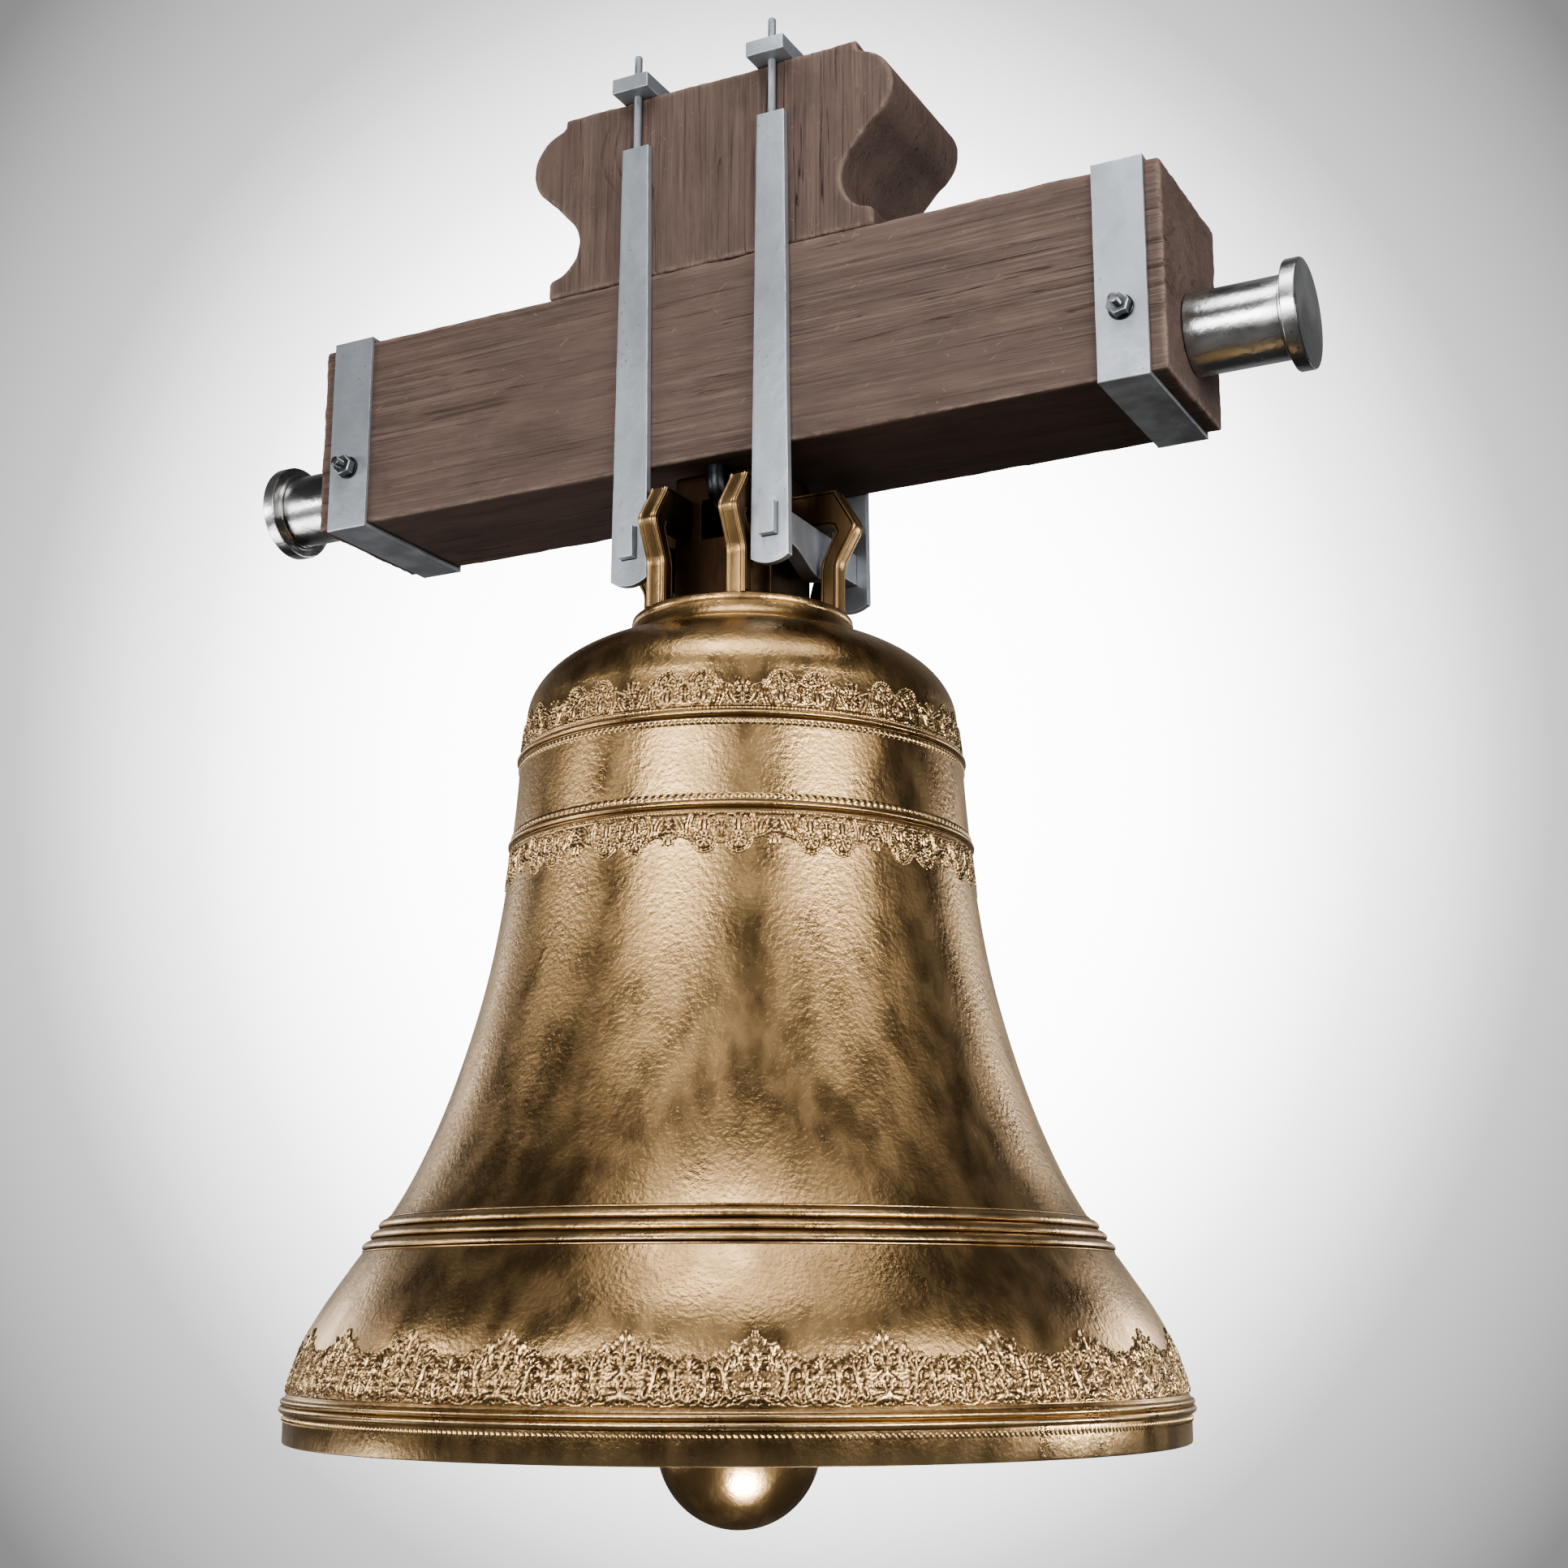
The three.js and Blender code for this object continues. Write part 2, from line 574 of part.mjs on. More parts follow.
function crossPlate() {
  let body = block([-PLATE_WIDTH / 2, -PLATE_LENGTH / 2, plateBottom],
    [PLATE_WIDTH / 2, PLATE_LENGTH / 2, plateBottom + PLATE_THICKNESS]);
  for (const y of [-rodY, rodY]) {
    body = body.subtract(bore('z', ROD_RADIUS, plateBottom - 1, plateBottom + PLATE_THICKNESS + 1, 16)
      .translate([0, y, 0]));
  }
  return body;
}

// ---------- Gudgeons, at the +X end ----------

function gudgeon() {
  const tangStart = beamEnd - TANG_LENGTH;
  const half = TANG_SIDE / 2;
  const tang = block([tangStart, -half, -half], [beamEnd, half, half]);
  const pin = rod('x', PIN_RADIUS, beamEnd - 1, capStart - GAP, ROUND);
  const nose = rod('x', NOSE_RADIUS, capStart - 2, capStart + NOSE_LENGTH);
  const boltHole = bore('y', BOLT_RADIUS, -half - 1, half + 1).translate([bandCentre, 0, 0]);
  return tang.add(pin).add(nose).subtract(boltHole);
}

function sleeve() {
  const start = beamEnd + GAP;
  return rod('x', SLEEVE_RADIUS, start, start + SLEEVE_LENGTH, ROUND)
    .subtract(bore('x', PIN_RADIUS, start - 1, start + SLEEVE_LENGTH + 1, ROUND, RUNNING_GAP));
}

function endCap() {
  const outer = CAP_STEP + CAP_THICKNESS;
  const profile = [
    [0, 0], [CAP_STEP_RADIUS, 0], [CAP_STEP_RADIUS, CAP_STEP],
    [CAP_RADIUS - CAP_CHAMFER, CAP_STEP], [CAP_RADIUS, CAP_STEP + CAP_CHAMFER],
    [CAP_RADIUS, outer - CAP_CHAMFER], [CAP_RADIUS - CAP_CHAMFER, outer], [0, outer],
  ];
  return turnToX(turned(profile)).translate([capStart, 0, 0])
    .subtract(bore('x', NOSE_RADIUS, capStart - 1, capStart + NOSE_LENGTH + GAP));
}

function endBand() {
  const [x, wall] = [bandCentre, BAND_THICKNESS];
  const [y, low, high] = [beamFace + GAP, beamBottom - GAP, beamTop + GAP];
  const outer = block([x - BAND_WIDTH / 2, -y - wall, low - wall], [x + BAND_WIDTH / 2, y + wall, high + wall]);
  const inner = block([x - BAND_WIDTH, -y, low], [x + BAND_WIDTH, y, high]);
  const hole = bore('y', BOLT_RADIUS, -bandFace - 1, bandFace + 1).translate([x, 0, 0]);
  return outer.subtract(inner).subtract(hole);
}

// The band bolt runs through band, beam and tang, with its head at the back
function bandBolt() {
  const headStart = bandFace + WASHER_THICKNESS + 2 * GAP;
  const end = bandFace + WASHER_THICKNESS + NUT_HEIGHT + 2 * GAP + BOLT_PROUD;
  return rod('y', BOLT_RADIUS, -end, headStart + 1)
    .add(hexagon('y', NUT_ACROSS, headStart, headStart + BOLT_HEAD_HEIGHT)).translate([bandCentre, 0, 0]);
}

function bandWasher(side) {
  const [near, far] = [bandFace + GAP, bandFace + GAP + WASHER_THICKNESS];
  const [from, to] = side > 0 ? [near, far] : [-far, -near];
  return rod('y', WASHER_RADIUS, from, to).subtract(bore('y', BOLT_RADIUS, from - 1, to + 1))
    .translate([bandCentre, 0, 0]);
}

function bandNut() {
  const near = -(bandFace + WASHER_THICKNESS + 2 * GAP);
  return hexagon('y', NUT_ACROSS, near - NUT_HEIGHT, near)
    .subtract(bore('y', BOLT_RADIUS, near - NUT_HEIGHT - 1, near + 1)).translate([bandCentre, 0, 0]);
}

// ---------- Staple and clapper ----------

const earOuter = earInner + STAPLE_EAR_THICKNESS;

function staple() {
  const flange = rod('z', STAPLE_FLANGE_RADIUS, stapleBottom, stapleBottom + STAPLE_FLANGE, ROUND);
  const shank = rod('z', STAPLE_SHANK_RADIUS, stapleBottom + 1, crownInside + STAPLE_SHANK_LENGTH);
  let body = flange.add(shank);
  for (const side of [-1, 1]) {
    const [from, to] = side > 0 ? [earInner, earOuter] : [-earOuter, -earInner];
    const eye = rod('x', STAPLE_EAR_RADIUS, from, to, ROUND).translate([0, 0, pivotZ]);
    const cheek = block([from, -STAPLE_EAR_RADIUS, pivotZ], [to, STAPLE_EAR_RADIUS, stapleBottom + 1]);
    body = body.add(eye).add(cheek);
  }
  return body.subtract(bore('x', CLAPPER_PIN_RADIUS, -earOuter - 1, earOuter + 1).translate([0, 0, pivotZ]));
}

function clapperPin() {
  const [head, end] = [earOuter + GAP, -earOuter - PIN_NUT_HEIGHT - 2 * GAP - 5];
  return rod('x', CLAPPER_PIN_RADIUS, end, head + 1)
    .add(hexagon('x', PIN_HEAD_ACROSS, head, head + PIN_HEAD_HEIGHT)).translate([0, 0, pivotZ]);
}

function clapperPinNut() {
  const [from, to] = [-earOuter - GAP - PIN_NUT_HEIGHT, -earOuter - GAP];
  return hexagon('x', PIN_HEAD_ACROSS, from, to)
    .subtract(bore('x', CLAPPER_PIN_RADIUS, from - 1, to + 1)).translate([0, 0, pivotZ]);
}

const bushOuter = CLAPPER_PIN_RADIUS + RUNNING_GAP + BUSH_WALL;

function clapperBush() {
  const half = EYE_WIDTH / 2;
  return rod('x', bushOuter, -half, half)
    .subtract(bore('x', CLAPPER_PIN_RADIUS, -half - 1, half + 1, SMALL_ROUND, RUNNING_GAP))
    .translate([0, 0, pivotZ]);
}

function clapper() {
  const eyeRadius = bushOuter + EYE_WALL;
  const [half, ballTop] = [EYE_WIDTH / 2, ballZ + 0.9 * BALL_RADIUS];
  const shaft = turned([
    [0, ballZ], [SHAFT_LOW_RADIUS, ballZ], [SHAFT_LOW_RADIUS, ballTop + SHAFT_LOW_STRAIGHT],
    [SHAFT_TOP_RADIUS, pivotZ - eyeRadius - SHAFT_TOP_STRAIGHT], [SHAFT_TOP_RADIUS, pivotZ - 1], [0, pivotZ - 1],
  ], SMALL_ROUND);
  const ball = new THREE.SphereGeometry(BALL_RADIUS, 28, 16);
  ball.rotateX(Math.PI / 2);
  ball.translate(0, 0, ballZ);
  const eye = rod('x', eyeRadius, -half, half, ROUND).translate([0, 0, pivotZ]);
  return shaft.add(solid(ball)).add(eye)
    .subtract(bore('x', bushOuter, -half - 1, half + 1).translate([0, 0, pivotZ]));
}

// ---------- Assembly ----------

const finish = (color, roughness, metalness) =>
  new THREE.MeshStandardMaterial({ color, roughness, metalness });

const bronze = finish(0x9a7a4c, 0.38, 1);
const timber = finish(0x5a4438, 0.8, 0);
const galvanised = finish(0xa9aeb2, 0.5, 0.9);
const polishedSteel = finish(0x8c9092, 0.3, 1);
const darkIron = finish(0x3a3b3d, 0.55, 0.9);

const assembly = new THREE.Group();

function place(name, body, material, x = 0) {
  const mesh = new THREE.Mesh(geometryOf(body), material);
  mesh.name = name;
  mesh.position.x = x;
  assembly.add(mesh);
}

place('bell', bellCasting(), bronze);
place('headstock_beam', beam(), timber);
place('headstock_block', headBlock(), timber);
place('crown_staple', staple(), darkIron);
place('clapper_pin', clapperPin(), polishedSteel);
place('clapper_pin_nut', clapperPinNut(), darkIron);
place('clapper_bush', clapperBush(), bronze);
place('clapper', clapper(), bronze);
place('crown_u_bolt', ubolt(UBOLT_RADIUS), darkIron);
place('u_bolt_plate', uboltPlate(), darkIron);
place('u_bolt_nut_front', uboltNut(-uboltY), darkIron);
place('u_bolt_nut_back', uboltNut(uboltY), darkIron);

for (const [name, side] of [['left', -1], ['right', 1]]) {
  // pieces modelled at the right end are mirrored across the middle for the left end
  const atEnd = (body) => (side > 0 ? body : body.mirror([1, 0, 0]));
  place(`gudgeon_${name}`, atEnd(gudgeon()), polishedSteel);
  place(`journal_sleeve_${name}`, atEnd(sleeve()), polishedSteel);
  place(`gudgeon_cap_${name}`, atEnd(endCap()), polishedSteel);
  place(`end_band_${name}`, atEnd(endBand()), galvanised);
  place(`band_bolt_${name}`, atEnd(bandBolt()), darkIron);
  place(`band_nut_${name}`, atEnd(bandNut()), darkIron);
  place(`band_washer_front_${name}`, atEnd(bandWasher(-1)), darkIron);
  place(`band_washer_back_${name}`, atEnd(bandWasher(1)), darkIron);
  place(`block_dowel_${name}`, dowel(side), timber);
  const x = side * hangerX;
  place(`canon_bar_${name}`, canonBar(), galvanised, x);
  place(`cross_plate_${name}`, crossPlate(), galvanised, x);
  place(`hanger_strap_front_${name}`, hangerStrap(), galvanised, x);
  place(`hanger_strap_back_${name}`, hangerStrap().mirror([0, 1, 0]), galvanised, x);
}

export default assembly;
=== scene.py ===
"""Church bell: the looks of the bell, its crown, timber headstock, ironwork and clapper, on a plain stage."""

import math

import bmesh
import bpy
import numpy as np
from bpy.props import FloatProperty, FloatVectorProperty, IntProperty, PointerProperty
from mathutils import Matrix, Vector, noise


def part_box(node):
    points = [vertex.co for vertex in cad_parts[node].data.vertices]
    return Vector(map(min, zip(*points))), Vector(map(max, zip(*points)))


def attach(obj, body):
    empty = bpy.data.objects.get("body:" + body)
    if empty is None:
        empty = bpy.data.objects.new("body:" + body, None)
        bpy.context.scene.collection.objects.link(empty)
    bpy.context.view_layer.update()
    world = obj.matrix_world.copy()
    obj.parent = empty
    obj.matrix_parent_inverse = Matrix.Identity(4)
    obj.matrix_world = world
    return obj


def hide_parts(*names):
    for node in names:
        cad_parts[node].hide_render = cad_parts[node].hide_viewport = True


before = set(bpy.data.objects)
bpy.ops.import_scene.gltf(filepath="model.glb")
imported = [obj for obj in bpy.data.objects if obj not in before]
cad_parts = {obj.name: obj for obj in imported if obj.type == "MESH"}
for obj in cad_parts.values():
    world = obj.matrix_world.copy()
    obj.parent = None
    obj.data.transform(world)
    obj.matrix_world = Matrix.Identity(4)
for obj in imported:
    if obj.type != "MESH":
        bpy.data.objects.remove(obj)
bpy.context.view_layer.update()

bl_info = {
    "name": "Church bell",
    "version": (1, 0, 0),
    "blender": (4, 5, 0),
    "location": "3D View > Sidebar > Bell",
    "description": "Models a swinging church bell around its working frame",
    "category": "Object",
}

MM = 0.001
TURN = 2 * math.pi

# ---------- Places from the frame ----------

BELL_LOW, BELL_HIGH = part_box("bell")
BEAM_LOW, BEAM_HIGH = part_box("headstock_beam")
BLOCK_LOW, BLOCK_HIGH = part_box("headstock_block")
MOUTH_Z = BELL_LOW.z
SIDES = (("left", -1), ("right", 1))
FACES = (("front", -1), ("back", 1))


# ---------- Sizes and colours ----------

def length(name, default, description):
    return FloatProperty(name=name, description=description, default=default, min=0.0, precision=4,
                         unit="LENGTH")


def share(name, default, description):
    return FloatProperty(name=name, description=description, default=default, min=0.0, max=1.0,
                         subtype="FACTOR")


def count(name, default, description):
    return IntProperty(name=name, description=description, default=default, min=3)


def colour(name, default, description):
    return FloatVectorProperty(name=name, description=description, default=default, size=3,
                               min=0.0, max=1.0, subtype="COLOR")


class BellSizes(bpy.types.PropertyGroup):
    mouth_radius: length("Mouth radius", 0.500, "Outside of the lip, between its mouldings")
    shoulder_radius: length("Shoulder radius", 0.257, "Outside at the top of the waist")
    shoulder_height: length("Shoulder height", 0.820, "Top of the waist above the mouth")
    shoulder_rise: length("Shoulder rise", 0.096, "Height of the rounded shoulder")
    disc_radius: length("Crown disc radius", 0.145, "Foot of the disc on top of the shoulder")
    disc_top_radius: length("Crown disc top radius", 0.1325, "Rim of the disc")
    disc_height: length("Crown disc height", 0.034, "Disc above the shoulder")
    crown_wall: length("Crown wall", 0.036, "Thickness under the crown disc")
    lip_wall: length("Lip wall", 0.022, "Thickness of the lip at the mouth")
    bow_wall: length("Sound bow wall", 0.068, "Thickest wall, where the clapper strikes")
    waist_wall: length("Waist wall", 0.030, "Thickness in the middle of the waist")
    steps: count("Steps round", 288, "Faces round the bell")


class FriezeSizes(bpy.types.PropertyGroup):
    crest: length("Crest of the large frieze", 0.0021, "How far its scrolls stand proud")
    lace_crest: length("Crest of the rosette friezes", 0.0020, "How far their rosettes stand proud")
    bead_crest: length("Crest of the bead rows", 0.0024, "How far their beads stand proud")
    sink: length("Sink", 0.0014, "How far a frieze's border runs under the bell's surface")
    peaks: count("Peaks", 25, "Repeats of the large frieze")
    rosettes_high: count("Upper rosette pairs", 13, "Repeats of the frieze on the shoulder")
    rosettes_low: count("Lower rosette pairs", 15, "Repeats of the hanging frieze")
    peak_turn: FloatProperty(name="Peak direction", description="Where one peak of the large frieze is",
                             default=math.radians(300), subtype="ANGLE")
    high_turn: FloatProperty(name="Upper pair direction", description="Where one upper rosette pair is",
                             default=math.radians(312.15), subtype="ANGLE")
    low_turn: FloatProperty(name="Lower pair direction", description="Where one lower rosette pair is",
                            default=math.radians(293.7), subtype="ANGLE")


class CrownSizes(bpy.types.PropertyGroup):
    canon_thickness: length("Canon thickness", 0.024, "Across a canon")
    canon_leg: length("Canon leg", 0.022, "A canon's leg at its foot")
    canon_elbow: length("Canon elbow", 0.0265, "A canon's leg at its elbow")
    canon_arm: length("Canon arm", 0.044, "Height of a canon's top arm")
    canon_drop: length("Canon drop", 0.033, "Canon tops below the timber")
    canon_spacing: length("Canon spacing", 0.054, "From the middle to a front canon")
    argent_half_width: length("Argent half width", 0.066, "Half of the argent along the axle")
    argent_half_depth: length("Argent half depth", 0.053, "Half of the argent across the axle")
    eye_half_width: length("Eye half width", 0.028, "Half of the window in the argent")
    eye_height: length("Eye height", 0.047, "Height of the window in the argent")
    eye_drop: length("Eye drop", 0.035, "Window's top below the timber")


class TimberSizes(bpy.types.PropertyGroup):
    pitch: length("Fine pitch", 0.0021, "Spacing of the mesh across the grain")
    long_pitch: length("Long pitch", 0.012, "Spacing of the mesh along the grain")
    edge_radius: length("Edge radius", 0.0042, "Rounding of the worn edges")
    groove_depth: length("Dent depth", 0.0007, "Depth of the dents")
    crack_depth: length("Crack depth", 0.0013, "Depth of the drying cracks")


class IronSizes(bpy.types.PropertyGroup):
    edge: length("Edge", 0.0009, "Rounding of the forged edges")
    unevenness: length("Unevenness", 0.0003, "Hammered unevenness of the flat bars")
    band: length("Band thickness", 0.005, "Thickness of the end bands")
    strap: length("Strap thickness", 0.010, "Thickness of the hanger straps")
    thread: length("Thread depth", 0.0007, "Depth of the threads")
    pitch: length("Thread pitch", 0.0018, "Spacing of the threads")
    steps: count("Steps round", 64, "Faces round turned steel")


class Finishes(bpy.types.PropertyGroup):
    bronze: colour("Bronze", (0.425, 0.290, 0.153), "Clean bell bronze")
    # Patina colour; the bronze materials also use it as painted shade in hollows and on the crown under the timber.
    bronze_dark: colour("Bronze patina", (0.056, 0.033, 0.021), "Patina on the bronze")
    timber: colour("Timber", (0.132, 0.092, 0.076), "Stained timber")
    timber_light: colour("Timber, pale", (0.240, 0.178, 0.143), "Pale grain and worn edges")
    timber_dark: colour("Timber, dark", (0.032, 0.019, 0.014), "Open grain and cracks")
    zinc: colour("Galvanised steel", (0.372, 0.394, 0.420), "Dull zinc")
    zinc_light: colour("Galvanised steel, bright", (0.560, 0.585, 0.610), "Rubbed edges")
    steel: colour("Turned steel", (0.500, 0.504, 0.500), "Journals and caps")
    iron: colour("Dark iron", (0.050, 0.052, 0.058), "Oiled iron")
    bolt: colour("Bolt steel", (0.200, 0.205, 0.215), "Nuts and bolts of the bands")
    floor: colour("Floor", (0.600, 0.600, 0.600), "The stage's floor")


class StageSizes(bpy.types.PropertyGroup):
    lens: FloatProperty(name="Lens", description="Focal length on a 36 mm sensor", default=51.72,
                        subtype="DISTANCE_CAMERA")
    floor_drop: length("Floor drop", 0.45, "Floor below the clapper")
    floor_radius: length("Floor radius", 2.9, "Radius of the floor")


GROUPS = (
    ("bell_sizes", BellSizes), ("frieze_sizes", FriezeSizes), ("crown_sizes", CrownSizes),
    ("timber_sizes", TimberSizes), ("iron_sizes", IronSizes), ("finishes", Finishes),
    ("stage_sizes", StageSizes),
)


# ---------- Shader node helpers ----------

class Nodes:
    """A node tree with short calls to add, link and set nodes."""

    def __init__(self, tree):
        self.tree = tree

    def add(self, kind, **settings):
        node = self.tree.nodes.new(kind)
        for name, value in settings.items():
            setattr(node, name, value)
        return node

    def feed(self, socket, value):
        if isinstance(value, bpy.types.NodeSocket):
            self.tree.links.new(value, socket)
        elif hasattr(socket.default_value, "__len__"):
            socket.default_value = (*value, 1.0)[:len(socket.default_value)]
        else:
            socket.default_value = value

    def math(self, operation, a, b=0.0, clamp=False):
        node = self.add("ShaderNodeMath", operation=operation, use_clamp=clamp)
        self.feed(node.inputs[0], a)
        self.feed(node.inputs[1], b)
        return node.outputs[0]

    def span(self, value, low, high, to_low=0.0, to_high=1.0):
        node = self.add("ShaderNodeMapRange", interpolation_type="SMOOTHSTEP")
        for socket, number in zip(node.inputs, (value, low, high, to_low, to_high)):
            self.feed(socket, number)
        return node.outputs[0]

    def mix(self, share_of_b, a, b):
        node = self.add("ShaderNodeMix", data_type="RGBA")
        self.feed(node.inputs[0], share_of_b)
        self.feed(node.inputs[6], a)
        self.feed(node.inputs[7], b)
        return node.outputs[2]

    def stretched(self, scale, turn=(0.0, 0.0, 0.0)):
        place = self.add("ShaderNodeTexCoord").outputs["Object"]
        node = self.add("ShaderNodeMapping")
        self.feed(node.inputs["Vector"], place)
        self.feed(node.inputs["Rotation"], turn)
        self.feed(node.inputs["Scale"], scale)
        return node.outputs[0]

    def noise(self, vector, scale, detail=4.0, roughness=0.55, distortion=0.0):
        node = self.add("ShaderNodeTexNoise")
        for name, value in (("Vector", vector), ("Scale", scale), ("Detail", detail),
                            ("Roughness", roughness), ("Distortion", distortion)):
            self.feed(node.inputs[name], value)
        return node.outputs[0]

    def attribute(self, name):
        return self.add("ShaderNodeAttribute", attribute_name=name).outputs["Fac"]

    def bump(self, height, distance, strength=1.0, normal=None):
        node = self.add("ShaderNodeBump")
        self.feed(node.inputs["Height"], height)
        self.feed(node.inputs["Distance"], distance)
        self.feed(node.inputs["Strength"], strength)
        if normal is not None:
            self.feed(node.inputs["Normal"], normal)
        return node.outputs[0]

    def group(self, tree, **values):
        node = self.add("ShaderNodeGroup", node_tree=tree)
        for name, value in values.items():
            self.feed(node.inputs[name.replace("_", " ")], value)
        return node.outputs


def node_group(name, inputs, outputs):
    """A new node group; inputs are {name: default} and outputs are names."""
    tree = bpy.data.node_groups.new(name, "ShaderNodeTree")
    for title, default in inputs.items():
        kind = "NodeSocketVector" if isinstance(default, tuple) else "NodeSocketFloat"
        socket = tree.interface.new_socket(title, in_out="INPUT", socket_type=kind)
        socket.default_value = default
    for title in outputs:
        kind = "NodeSocketVector" if title == "Normal" else "NodeSocketFloat"
        tree.interface.new_socket(title, in_out="OUTPUT", socket_type=kind)
    nodes = Nodes(tree)
    return tree, nodes, nodes.add("NodeGroupInput").outputs, nodes.add("NodeGroupOutput").inputs


def blotches_group():
    """Soft blotches, stretched as told, with finer ones over them."""
    tree, n, given, out = node_group(
        "Blotches", {"Stretch": (1.0, 1.0, 1.0), "Scale": 8.0, "Low": 0.45, "High": 0.65}, ["Mask"])
    place = n.add("ShaderNodeTexCoord").outputs["Object"]
    mapping = n.add("ShaderNodeMapping")
    n.feed(mapping.inputs["Vector"], place)
    n.feed(mapping.inputs["Scale"], given["Stretch"])
    broad = n.noise(mapping.outputs[0], given["Scale"], 3.0, 0.5, 0.3)
    n.feed(out["Mask"], n.span(broad, given["Low"], given["High"]))
    return tree


def rubbed_group():
    """Where handling has rubbed the edges: the wear painted on the mesh, broken up."""
    tree, n, given, out = node_group("Rubbed edges", {"Amount": 0.8, "Scale": 90.0}, ["Mask"])
    place = n.add("ShaderNodeTexCoord").outputs["Object"]
    breaks = n.span(n.noise(place, given["Scale"], 3.0), 0.3, 0.62)
    wear = n.math("MULTIPLY", n.attribute("wear"), breaks)
    n.feed(out["Mask"], n.math("MULTIPLY", wear, given["Amount"], clamp=True))
    return tree


def pitted_group():
    """Small dark pits and specks."""
    tree, n, given, out = node_group("Specks", {"Scale": 60.0, "Size": 0.16}, ["Mask"])
    place = n.add("ShaderNodeTexCoord").outputs["Object"]
    cells = n.add("ShaderNodeTexVoronoi")
    n.feed(cells.inputs["Vector"], place)
    n.feed(cells.inputs["Scale"], given["Scale"])
    near = n.math("SUBTRACT", given["Size"], cells.outputs["Distance"])
    few = n.span(n.noise(place, 14.0, 2.0), 0.5, 0.62)
    n.feed(out["Mask"], n.math("MULTIPLY", n.span(near, 0.0, 0.06), few))
    return tree


def uneven_group():
    """A rolling, slightly pebbled skin, as a normal."""
    tree, n, given, out = node_group(
        "Uneven skin", {"Scale": 120.0, "Depth": 0.0006, "Fine Scale": 600.0, "Fine Depth": 0.0001},
        ["Normal"])
    place = n.add("ShaderNodeTexCoord").outputs["Object"]
    fine = n.bump(n.noise(place, given["Fine Scale"], 2.0), given["Fine Depth"])
    n.feed(out["Normal"], n.bump(n.noise(place, given["Scale"], 3.0, 0.5), given["Depth"], 1.0, fine))
    return tree


SHARED = {}


def shared_groups():
    SHARED.update(blotches=blotches_group(), rubbed=rubbed_group(), specks=pitted_group(),
                  uneven=uneven_group())


def material(name):
    """A new material, its nodes and its Principled shader."""
    made = bpy.data.materials.new(name)
    made.use_nodes = True
    return made, Nodes(made.node_tree), made.node_tree.nodes["Principled BSDF"].inputs


def bronze_material(name, finishes, roughness=0.29, patina=1.0, peel=0.0005):
    """Cast bronze: painted shade in the hollows and a painted highlight on the crests, both read from the relief
    tone, with patina streaked down its sides.
    """
    made, n, shader = material(name)
    relief = n.attribute("relief")
    streaks = n.group(SHARED["blotches"], Stretch=(1.0, 1.0, 0.16), Scale=7.0, Low=0.44, High=0.84)[0]
    clouds = n.group(SHARED["blotches"], Stretch=(1.0, 1.0, 0.7), Scale=3.2, Low=0.42, High=0.80)[0]
    grime = n.group(SHARED["blotches"], Stretch=(1.0, 1.0, 0.14), Scale=42.0, Low=0.44, High=0.78)[0]
    mottle = n.group(SHARED["blotches"], Stretch=(1.0, 1.0, 0.8), Scale=30.0, Low=0.34, High=0.80)[0]
    specks = n.group(SHARED["specks"], Scale=120.0, Size=0.09)[0]
    worn = n.math("MULTIPLY", n.math("MULTIPLY", streaks, n.math("ADD", clouds, 0.25)), 0.42 * patina)
    dirt = n.math("ADD", worn, n.math("MULTIPLY", n.math("MULTIPLY", grime, clouds), 0.30 * patina))
    dirt = n.math("ADD", dirt, n.math("MULTIPLY", mottle, 0.14 * patina))
    # Painted shade: low relief tones darken the hollows towards the patina colour.
    painted_hollow_shade = n.span(relief, 0.06, -0.50)
    # Painted highlight: high relief tones pale the crests.
    crest = n.span(relief, 0.35, 0.95)
    # dark holds the patina streaks, the specks and the painted shade of the hollows together.
    dark = n.math("ADD", n.math("ADD", dirt, painted_hollow_shade), n.math("MULTIPLY", specks, 0.12), clamp=True)
    # The pale bronze colour here is the painted highlight on the crests.
    metal = n.mix(n.math("MULTIPLY", crest, 0.55), tuple(finishes.bronze), (0.62, 0.46, 0.27))
    n.feed(shader["Base Color"], n.mix(dark, metal, tuple(finishes.bronze_dark)))
    rough = n.span(n.noise(n.stretched((1.0, 1.0, 0.5)), 26.0, 4.0), 0.3, 0.7, roughness - 0.05,
                   roughness + 0.08)
    n.feed(shader["Roughness"], n.math("ADD", rough, n.math("MULTIPLY", dark, 0.22), clamp=True))
    n.feed(shader["Metallic"], 1.0)
    skin = n.group(SHARED["uneven"], Scale=190.0, Depth=peel, Fine_Scale=520.0, Fine_Depth=0.00010)[0]
    n.feed(shader["Normal"], skin)
    return made


